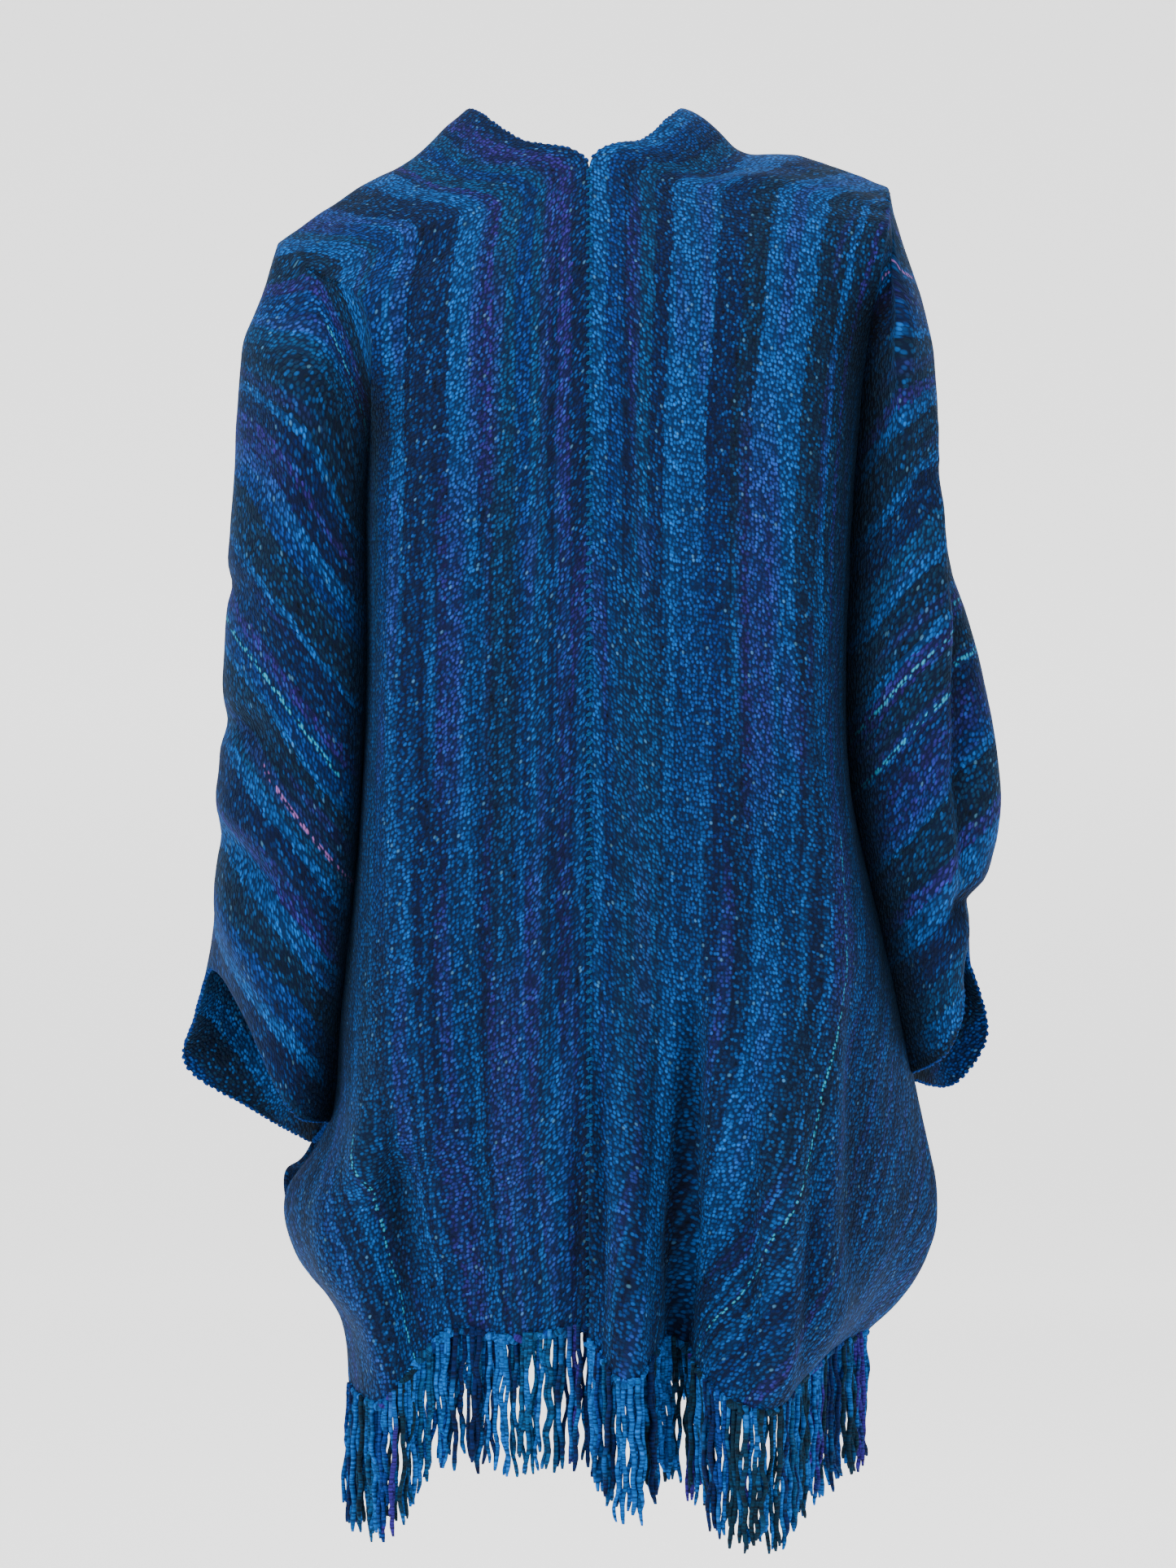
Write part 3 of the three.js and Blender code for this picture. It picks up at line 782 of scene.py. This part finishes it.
class Field:
    """A socket that Python arithmetic turns into Math nodes."""

    def __init__(self, tree, socket=None):
        self.tree = tree
        self.socket = socket

    def add(self, kind, settings=None, sockets=None, output=0):
        """Any other node: its settings first, then the values or links of its sockets."""
        node = self.tree.nodes.new(kind)
        for name, setting in (settings or {}).items():
            if name == "stops":
                set_stops(node.color_ramp, setting)
            else:
                setattr(node, name, setting)
        for name, value in (sockets or {}).items():
            if isinstance(value, Field):
                self.tree.links.new(value.socket, node.inputs[name])
            else:
                node.inputs[name].default_value = value
        return Field(self.tree, node.outputs[output])

    def other(self, output):
        return Field(self.tree, self.socket.node.outputs[output])

    def math(self, operation, a, b=0.0):
        return self.add("ShaderNodeMath", {"operation": operation}, {0: a, 1: b})

    def __add__(self, value):
        return self.math("ADD", self, value)

    __radd__ = __add__

    def __sub__(self, value):
        return self.math("SUBTRACT", self, value)

    def __rsub__(self, value):
        return self.math("SUBTRACT", value, self)

    def __mul__(self, value):
        return self.math("MULTIPLY", self, value)

    __rmul__ = __mul__

    def __gt__(self, value):
        return self.math("GREATER_THAN", self, value)

    def __lt__(self, value):
        return self.math("LESS_THAN", self, value)

    def __abs__(self):
        return self.math("ABSOLUTE", self)

    def __pow__(self, value):
        return self.math("POWER", self, value)

    def rise(self, low, high):
        """0 below low, 1 above high, and smooth between."""
        sockets = {"Value": self, "From Min": low, "From Max": high}
        return self.add("ShaderNodeMapRange", {"interpolation_type": "SMOOTHSTEP"}, sockets)

    def mix(self, a, b, factor, blend="MIX"):
        """A colour between two colours."""
        settings = {"data_type": "RGBA", "blend_type": blend}
        return self.add("ShaderNodeMix", settings, {0: factor, 6: a, 7: b}, output=2)

    def shaded(self, light):
        """The same colour, darker or lighter."""
        return self.mix(self, self.point(light, light, light), 1.0, "MULTIPLY")

    def split(self, kind="ShaderNodeSeparateXYZ"):
        node = self.add(kind, sockets={0: self})
        return node, node.other(1), node.other(2)

    def uv(self, name):
        return self.add("ShaderNodeUVMap", {"uv_map": name})

    def point(self, x, y, z=0.0):
        return self.add("ShaderNodeCombineXYZ", sockets={0: x, 1: y, 2: z})

    def clouds(self, vector, scale, detail=2.0):
        """Smooth noise over a vector."""
        sockets = {"Vector": vector, "Scale": scale, "Detail": detail}
        return self.add("ShaderNodeTexNoise", {"noise_dimensions": "2D"}, sockets)

    def fuzz(self, scale):
        """Fine noise through the piece's own space."""
        where = self.add("ShaderNodeTexCoord", output="Object")
        sockets = {"Vector": where, "Scale": scale, "Detail": 2.0}
        return self.add("ShaderNodeTexNoise", sockets=sockets)


def set_stops(ramp, stops):
    """Colour ramp stops: one colour from each place on."""
    ramp.interpolation = "CONSTANT"
    elements = ramp.elements
    while len(elements) > 1:
        elements.remove(elements[-1])
    elements[0].position = stops[0][0]
    elements[0].color = stops[0][1]
    for place, colour in stops[1:]:
        elements.new(place).color = colour


# What a property group lists besides its own properties.
NOT_OURS = ("rna_type", "name")


def rgba(colour):
    return (colour[0], colour[1], colour[2], 1.0)


# The warp from the inner edge outward: where each stripe starts, in millimetres, and its dye.
# Both panels have the same last stripes.
STRIPES = "start dye"
LAST_STRIPES = (
    (466, "teal"), (482, "azure"), (494, "green"), (516, "blue"), (540, "navy"), (560, "azure"),
    (574, "teal"), (600, "navy"),
)
WARPS = {
    "left": table(
        STRIPES,
        (0, "navy"), (10, "violet"), (18, "navy"), (24, "teal"), (34, "blue"), (42, "teal"),
        (56, "violet"), (60, "navy"), (64, "azure"), (82, "navy"), (108, "azure"), (120, "blue"),
        (134, "teal"), (142, "azure"), (158, "green"), (176, "violet"), (184, "blue"),
        (196, "azure"), (204, "teal"), (212, "green"), (232, "azure"), (236, "navy"),
        (246, "violet"), (250, "navy"), (258, "azure"), (267, "blue"), (274, "green"),
        (294, "azure"), (298, "navy"), (316, "violet"), (322, "blue"), (336, "azure"),
        (340, "green"), (358, "teal"), (370, "azure"), (376, "navy"), (394, "violet"),
        (400, "azure"), (412, "green"), (428, "blue"), (442, "azure"), (450, "navy"),
        *LAST_STRIPES,
    ),
    "right": table(
        STRIPES,
        (0, "azure"), (9, "blue"), (18, "navy"), (26, "teal"), (36, "navy"), (44, "azure"),
        (71, "navy"), (86, "green"), (99, "azure"), (112, "azure"), (128, "green"),
        (146, "azure"), (151, "green"), (160, "violet"), (164, "green"), (182, "azure"),
        (190, "navy"), (204, "blue"), (214, "azure"), (218, "green"), (236, "violet"),
        (242, "azure"), (250, "green"), (268, "azure"), (272, "navy"), (290, "teal"),
        (302, "azure"), (308, "green"), (330, "azure"), (335, "violet"), (344, "green"),
        (360, "azure"), (365, "navy"), (380, "blue"), (396, "azure"), (402, "green"),
        (424, "violet"), (432, "azure"), (446, "navy"),
        *LAST_STRIPES,
    ),
}
# Where the second ramp takes over, and where it ends.
WARP_SPLIT = 250
WARP_END = 650

# Single bright yarns in the warp: distance from the inner edge and the stretch along the warp
# where they show, in metres, and their dye.
ACCENTS = "u v0 v1 dye"
ACCENT_YARNS = {
    "left": table(
        ACCENTS,
        (0.149, -0.8, -0.62, "turquoise"), (0.19, -0.3, 0.3, "azure"),
        (0.193, -0.2, -0.1, "turquoise"), (0.329, -0.17, -0.04, "turquoise"),
        (0.363, -0.2, -0.1, "pink"), (0.4, -0.3, 0.3, "azure"),
    ),
    "right": table(
        ACCENTS,
        (0.150, -0.8, -0.2, "azure"), (0.185, -0.1, 0.1, "pink"), (0.216, -0.3, 0.3, "azure"),
        (0.341, -0.3, 0.3, "turquoise"), (0.363, -0.3, 0.3, "turquoise"),
        (0.164, -0.85, -0.45, "turquoise"),
    ),
}

# Soft patches where the warp yarn turns another dye, by their middle and half size in metres.
PATCH = "u v half_u half_v dye"
PATCHES = {
    "left": table(
        PATCH,
        (0.062, -0.21, 0.012, 0.09, "violet"), (0.018, -0.09, 0.012, 0.08, "violet"),
        (0.08, -0.35, 0.01, 0.13, "violet"), (0.122, -0.01, 0.014, 0.06, "violet"),
        (0.096, 0.0, 0.014, 0.07, "green"), (0.256, -0.04, 0.014, 0.1, "violet"),
        (0.05, -0.36, 0.014, 0.16, "green"), (0.085, -0.72, 0.012, 0.12, "violet"),
        (0.135, -0.62, 0.02, 0.16, "green"), (0.05, -0.64, 0.014, 0.1, "violet"),
    ),
    "right": table(
        PATCH,
        (0.104, -0.34, 0.014, 0.16, "violet"), (0.06, -0.66, 0.02, 0.14, "azure"),
        (0.165, -0.5, 0.018, 0.1, "violet"), (0.382, 0.0, 0.012, 0.2, "violet"),
        (0.15, -0.62, 0.03, 0.08, "green"), (0.11, -0.62, 0.012, 0.18, "azure"),
        (0.03, -0.5, 0.02, 0.2, "teal"), (0.07, -0.36, 0.02, 0.12, "blue"),
    ),
}


def warp_colours(start, u, side_name, dyes):
    """The stripe colour at a distance from the inner edge, from two ramps side by side, since a
    ramp holds 32 stripes at most."""
    ramps = []
    for low, high in ((0, WARP_SPLIT), (WARP_SPLIT, WARP_END)):
        span = high - low
        stops = [((row["start"] - low) / span, dyes[row["dye"]])
                 for row in WARPS[side_name] if low <= row["start"] < high]
        share = (u - low * MM) * (1 / (span * MM))
        ramps.append(start.add("ShaderNodeValToRGB", {"stops": stops}, {0: share}))
    return start.mix(*ramps, u > WARP_SPLIT * MM)


def new_material(name):
    """A material, a start for its expressions, and its shader."""
    material = bpy.data.materials.new(name)
    material.use_nodes = True
    tree = material.node_tree
    return material, Field(tree), tree.nodes["Principled BSDF"]


def dyes_of(colours):
    names = [name for name in colours.bl_rna.properties.keys() if name not in NOT_OURS]
    return {name: rgba(getattr(colours, name)) for name in names}


def finish_fabric(start, shader, sizes, colour, relief, strength, height, sheen=0.12):
    """The colour, the relief of the pile up to a height in millimetres, and a soft finish."""
    sockets = {"Strength": strength, "Distance": height * MM, "Height": relief}
    bump = start.add("ShaderNodeBump", sockets=sockets)
    start.tree.links.new(colour.socket, shader.inputs["Base Color"])
    start.tree.links.new(bump.socket, shader.inputs["Normal"])
    shader.inputs["Roughness"].default_value = sizes.cloth_roughness
    shader.inputs["Specular IOR Level"].default_value = 0.18
    shader.inputs["Sheen Weight"].default_value = sheen
    shader.inputs["Sheen Roughness"].default_value = 0.4
    shader.inputs["Sheen Tint"].default_value = (0.08, 0.35, 0.8, 1.0)


def streaked(start, dyes, stripe_u, weave_v, chance_u, side_name):
    """The warp's dyes, blended more and more with mixed blue yarn towards the hems, and with
    violet yarn and soft patches over them."""
    dye = warp_colours(start, chance_u, side_name, dyes)
    streak = start.clouds(start.point(stripe_u * 170, weave_v * 5), 1.0, 3.0)
    lower = abs(weave_v).rise(0.2, 0.42)
    body_dye = start.mix(dyes["navy"], dyes["azure"], streak.rise(0.38, 0.8))
    dye = start.mix(dye, body_dye, 0.14 + lower * 0.58)
    violet = start.clouds(start.point(stripe_u * 60 + 3.7, weave_v * 5 + 1.3), 1.0, 1.0)
    dye = start.mix(dye, dyes["violet"], violet.rise(0.62, 0.72) * 0.5)
    for patch in PATCHES[side_name]:
        near_u = 1 - abs(chance_u - patch["u"]).rise(patch["half_u"] * 0.5, patch["half_u"])
        near_v = 1 - abs(weave_v - patch["v"]).rise(patch["half_v"] * 0.4, patch["half_v"])
        dye = start.mix(dye, dyes[patch["dye"]], near_u * near_v * 0.55)
    return dye


def cloth_material(side_name, colours, sizes):
    """Chenille weave: flecks of pile in the colours of the warp's stripes."""
    material, start, shader = new_material("chenille_" + side_name)
    dyes = dyes_of(colours)
    weave_u, weave_v, unused = start.uv("weave").split()
    stripe_u, unused, unused = start.uv("stripe").split()
    cell = start.point(weave_u * (1 / sizes.warp_pitch), weave_v * (1 / sizes.weft_pitch))
    settings = {"voronoi_dimensions": "2D", "feature": "F1"}
    sockets = {"Vector": cell, "Scale": 1.0, "Randomness": 0.8}
    flecks = start.add("ShaderNodeTexVoronoi", settings, sockets)
    chance, fade, pale = flecks.other("Color").split("ShaderNodeSeparateColor")
    height = 1 - flecks.rise(0.22, 0.58)
    wander = start.clouds(start.point(weave_u * 6, weave_v * 9), 1.0)
    chance_u = stripe_u + (chance - 0.5) * (2.4 * MM) + (wander - 0.5) * (7 * MM)
    dye = streaked(start, dyes, stripe_u, weave_v, chance_u, side_name)

    mottle = start.clouds(start.point(weave_u * 120, weave_v * 90), 1.0, 3.0)
    light = 0.34 + fade ** 1.4 * 0.95 + (mottle - 0.5) * 1.2
    fleck = start.mix(dye, dyes["azure"], (pale > 0.65) * 0.35).shaded(light)
    fleck = start.mix(fleck, dyes["pale"], (pale > 0.99) * 0.25)
    colour = start.mix(start.mix(dye, dyes["ground"], 0.88), fleck, height)
    for accent in ACCENT_YARNS[side_name]:
        on_line = 1 - abs(stripe_u - accent["u"]).rise(0.6 * MM, 1.5 * MM)
        on_length = (weave_v > accent["v0"]) * (weave_v < accent["v1"])
        dots = (fade > 0.35) * on_line * on_length
        colour = start.mix(colour, dyes[accent["dye"]], dots * height * 0.8)

    hollow, trough, unused = start.uv("hollow").split()
    # Painted shade near the sleeve's crease and in the creases' troughs darkens the colour.
    colour = colour.shaded((0.12 + hollow * 0.88) * (0.4 + trough * 0.6))
    fuzz = start.clouds(start.point(weave_u, weave_v), 2600.0, 2.0)
    relief = height * (0.55 + chance * 0.45) + fuzz * 0.22
    finish_fabric(start, shader, sizes, colour, relief, 0.75, 1.1, sheen=0.1)
    return material


def yarn_material(side_name, colours, sizes):
    """Loose chenille yarn in the colours of the warp, with darker and lighter lengths."""
    material, start, shader = new_material("yarn_" + side_name)
    dyes = dyes_of(colours)
    stripe_u, length, unused = start.uv("stripe").split()
    dye = warp_colours(start, abs(stripe_u), side_name, dyes)
    change = start.clouds(start.point(stripe_u * 900, length * 22), 1.0, 2.0)
    dye = start.mix(dye, dyes["teal"], change.rise(0.5, 0.62) * 0.7)
    dye = start.mix(dye, dyes["azure"], change.rise(0.57, 0.65) * 0.8)
    pile = start.clouds(start.point(stripe_u * 2500, length * 700), 1.0, 2.0)
    colour = dye.shaded(0.28 + pile.rise(0.3, 0.75) * 1.1)
    finish_fabric(start, shader, sizes, colour, start.fuzz(900.0), 0.8, 1.0)
    return material


def stitch_material(name, colour, sizes):
    """Sewing yarn of one dye, with a little unevenness."""
    material, start, shader = new_material(name)
    fuzz = start.fuzz(1100.0)
    shade = start.mix(rgba([c * 0.45 for c in colour]), rgba(colour), fuzz.rise(0.35, 0.65))
    finish_fabric(start, shader, sizes, shade, fuzz, 0.6, 0.6)
    return material


def length_mm(name, description, default):
    """A length, given here in millimetres."""
    return bpy.props.FloatProperty(
        name=name, description=description, default=default * MM, unit="LENGTH", precision=5)


def count_of(name, description, default):
    return bpy.props.IntProperty(name=name, description=description, default=default, min=2)


def dye_colour(name, description, default):
    return bpy.props.FloatVectorProperty(
        name=name, description=description, default=default, size=3, subtype="COLOR", min=0, max=1)


class RuanaSizes(bpy.types.PropertyGroup):
    """Sizes of the cloth, its mesh and its yarns."""

    wall: length_mm("Wall", "Thickness of the cloth", 2.4)
    ripple: length_mm("Ripple", "Height of the small unevenness of the cloth", 1.6)
    seam_hold: length_mm("Seam hold", "Distance from the back seam that stays calm", 9)
    side_rows: count_of("Side rows", "Rows of the grid from hem to tack", 40)
    crease_rows: count_of("Crease rows", "Rows of the grid from tack to armhole", 112)
    armhole_rows: count_of("Armhole rows", "Rows of the grid over the shoulder", 92)
    body_columns: count_of("Body columns", "Columns of the grid across a panel", 60)
    warp_pitch: length_mm("Warp pitch", "Distance between flecks across the warp", 2.15)
    weft_pitch: length_mm("Weft pitch", "Distance between flecks along the warp", 2.55)
    yarn_width: length_mm("Yarn width", "Width of a fringe yarn", 2.9)
    yarn_pitch: length_mm("Yarn pitch", "Distance between fringe yarns", 1.75)
    fringe_length: length_mm("Fringe length", "Length of a fringe yarn", 78)
    knot_pitch: length_mm("Knot pitch", "Distance between loops of the header", 4.6)
    bump_pitch: length_mm("Bump pitch", "Distance between selvedge bumps", 4.6)
    stitch_pitch: length_mm("Stitch pitch", "Distance between stitches of the seam", 5.5)
    tack_stitches: count_of("Tack stitches", "Stitches that close each side tack", 7)
    cloth_roughness: bpy.props.FloatProperty(
        name="Roughness", description="Roughness of the pile", default=0.9, subtype="FACTOR")


class RuanaColours(bpy.types.PropertyGroup):
    """Dyes of the warp."""

    navy: dye_colour("Navy", "Dark blue stripes", (0.002, 0.012, 0.08))
    green: dye_colour("Dark green", "Blackish green stripes", (0.002, 0.022, 0.048))
    blue: dye_colour("Blue", "Middle blue stripes", (0.002, 0.04, 0.24))
    teal: dye_colour("Teal", "Greenish blue stripes", (0.002, 0.07, 0.21))
    azure: dye_colour("Azure", "Bright blue stripes", (0.002, 0.125, 0.5))
    violet: dye_colour("Violet", "Violet stripes", (0.032, 0.018, 0.23))
    turquoise: dye_colour("Turquoise", "Bright single yarns", (0.02, 0.4, 0.6))
    pink: dye_colour("Pink", "Pink single yarns", (0.46, 0.16, 0.46))
    pale: dye_colour("Pale", "Pale single yarns and flecks", (0.16, 0.44, 0.6))
    ground: dye_colour("Ground", "Depth of the weave between flecks", (0.0005, 0.004, 0.02))


class RUANA_OT_panel(bpy.types.Operator):
    """Make one cloth panel"""

    bl_idname = "ruana.panel"
    bl_label = "Cloth panel"
    side: bpy.props.StringProperty(name="Side", description="left or right", default="left")

    def execute(self, context):
        sizes = context.scene.ruana_sizes
        material = cloth_material(self.side, context.scene.ruana_colours, sizes)
        build_panel(self.side, sizes, material)
        return {"FINISHED"}


class RUANA_OT_fringe(bpy.types.Operator):
    """Make the yarns and the header of the four hems"""

    bl_idname = "ruana.fringe"
    bl_label = "Fringe"

    def execute(self, context):
        sizes = context.scene.ruana_sizes
        seed = 11
        for side_name in SIDES:
            material = yarn_material(side_name, context.scene.ruana_colours, sizes)
            for run in ("back", "front"):
                build_fringe(side_name, run, sizes, material, seed)
                build_knots(side_name, run, sizes, material, seed + 100)
                seed += 1
        return {"FINISHED"}


class RUANA_OT_edges(bpy.types.Operator):
    """Make the selvedge bumps, the back seam's stitches and the side tacks"""

    bl_idname = "ruana.edges"
    bl_label = "Edges and stitches"

    def execute(self, context):
        sizes = context.scene.ruana_sizes
        colours = context.scene.ruana_colours
        edge = stitch_material("edge_yarn", tuple(colours.blue), sizes)
        seam = stitch_material("seam_yarn", tuple(colours.teal), sizes)
        tack = stitch_material("tack_yarn", tuple(colours.blue), sizes)
        for n, side_name in enumerate(SIDES):
            build_selvedge(side_name, sizes, edge, 31 + n)
            build_tack(side_name, sizes, tack, 41 + n)
        build_seam(sizes, seam, 51)
        return {"FINISHED"}


class RUANA_OT_declare(bpy.types.Operator):
    """Gather each side's shown fringe, knot, selvedge and tack pieces; the cut areas are listed
    but not used
    """

    bl_idname = "ruana.declare"
    bl_label = "Cut of the cloth"

    def execute(self, context):
        objects = bpy.data.objects
        for side_name, area in (("left", 0.39), ("right", 0.43)):
            with_pieces = [o for o in objects if o.name.endswith("_" + side_name)
                           and o.name.split("_")[0] in ("fringe", "knots", "selvedge", "tack")
                           and not o.hide_render]
        return {"FINISHED"}


class RUANA_OT_stage(bpy.types.Operator):
    """Make the pale sweep, the lights and the camera"""

    bl_idname = "ruana.stage"
    bl_label = "Stage"

    def execute(self, context):
        build_sweep(context.scene)
        build_lights(context.scene)
        build_camera(context.scene)
        return {"FINISHED"}


def build_sweep(scene):
    """A pale floor that bends up into a wall."""
    floor = -1.42
    half = 4
    bend = 1.2
    wall_height = 5
    bm = bmesh.new()
    bmesh.ops.create_grid(bm, x_segments=1, y_segments=1, size=half)
    bmesh.ops.translate(bm, vec=(0, 0, floor), verts=bm.verts)
    edge = [e for e in bm.edges if all(v.co.y > half * 0.9 for v in e.verts)]
    turn = bmesh.ops.spin(bm, geom=edge + list({v for e in edge for v in e.verts}),
                          cent=(0, half, floor + bend), axis=(1, 0, 0), angle=math.pi / 2,
                          steps=12, dvec=(0, 0, 0), use_merge=False)
    last = [g for g in turn["geom_last"] if isinstance(g, bmesh.types.BMEdge)]
    wall = bmesh.ops.extrude_edge_only(bm, edges=last)["geom"]
    top = [g for g in wall if isinstance(g, bmesh.types.BMVert)]
    bmesh.ops.translate(bm, vec=(0, 0, wall_height), verts=top)
    mesh = mesh_of(bm, "sweep")
    mesh.shade_smooth()
    sweep = bpy.data.objects.new("sweep", mesh)
    scene.collection.objects.link(sweep)
    material, start, shader = new_material("pale_sweep")
    shader.inputs["Base Color"].default_value = (0.92, 0.92, 0.92, 1)
    shader.inputs["Roughness"].default_value = 0.95
    shader.inputs["Emission Color"].default_value = (1, 1, 1, 1)
    shader.inputs["Emission Strength"].default_value = 1.3
    mesh.materials.append(material)


# Soft lamps: where each stands and what it faces, in metres, its width and its power in watts.
LAMPS = table(
    "name place target size power",
    ("key", (-1.5, -1.9, 1.3), (0, 0, -0.4), 1.3, 64),
    ("fill", (1.9, -2.2, 0.2), (0, 0, -0.4), 2.2, 22),
    ("top", (0, -0.5, 1.9), (0, 0, -0.3), 1.4, 34),
    ("front", (0.3, 2.2, 0.9), (0, 0, -0.4), 2.2, 34),
)


def build_lights(scene):
    """The lamps, and a faint white light from all sides."""
    for row in LAMPS:
        light = bpy.data.lights.new(row["name"], "AREA")
        light.size = row["size"]
        light.energy = row["power"]
        lamp = bpy.data.objects.new(row["name"], light)
        lamp.location = row["place"]
        facing = Vector(row["target"]) - Vector(row["place"])
        lamp.rotation_euler = facing.to_track_quat("-Z", "Y").to_euler()
        scene.collection.objects.link(lamp)
    world = bpy.data.worlds.new("studio")
    scene.world = world
    world.use_nodes = True
    background = world.node_tree.nodes["Background"]
    background.inputs["Color"].default_value = (1, 1, 1, 1)
    background.inputs["Strength"].default_value = 0.3


def build_camera(scene):
    """A level camera behind the back of the wrap, with the photograph's height of view."""
    distance = 1.8
    frame_height = 0.9635
    camera_data = bpy.data.cameras.new("camera")
    camera_data.sensor_fit = "AUTO"
    camera_data.sensor_width = 36
    camera_data.lens = camera_data.sensor_width * distance / frame_height
    camera = bpy.data.objects.new("camera", camera_data)
    camera.location = (-0.00075, -distance, -0.413)
    camera.rotation_euler = Euler((math.pi / 2, 0, 0))
    scene.collection.objects.link(camera)
    scene.camera = camera


class RUANA_PT_panel(bpy.types.Panel):
    """Lists the sizes, the dyes and the operators"""

    bl_idname = "RUANA_PT_panel"
    bl_label = "Ruana"
    bl_space_type = "VIEW_3D"
    bl_region_type = "UI"
    bl_category = "Ruana"

    def draw(self, context):
        layout = self.layout
        for group in (context.scene.ruana_sizes, context.scene.ruana_colours):
            column = layout.column()
            for name in group.bl_rna.properties.keys():
                if name not in NOT_OURS:
                    column.prop(group, name)
        layout.operator("ruana.panel", text="Left panel").side = "left"
        layout.operator("ruana.panel", text="Right panel").side = "right"
        for operator in (RUANA_OT_fringe, RUANA_OT_edges, RUANA_OT_declare, RUANA_OT_stage):
            layout.operator(operator.bl_idname)


CLASSES = (
    RuanaSizes, RuanaColours, RUANA_OT_panel, RUANA_OT_fringe, RUANA_OT_edges, RUANA_OT_declare,
    RUANA_OT_stage, RUANA_PT_panel,
)


def register():
    for item in CLASSES:
        bpy.utils.register_class(item)
    bpy.types.Scene.ruana_sizes = bpy.props.PointerProperty(type=RuanaSizes)
    bpy.types.Scene.ruana_colours = bpy.props.PointerProperty(type=RuanaColours)


def unregister():
    del bpy.types.Scene.ruana_sizes
    del bpy.types.Scene.ruana_colours
    for item in reversed(CLASSES):
        bpy.utils.unregister_class(item)


def main():
    register()
    bpy.ops.ruana.stage()
    for side_name in SIDES:
        bpy.ops.ruana.panel(side=side_name)
    bpy.ops.ruana.fringe()
    bpy.ops.ruana.edges()
    bpy.ops.ruana.declare()


if __name__ == "__main__":
    main()
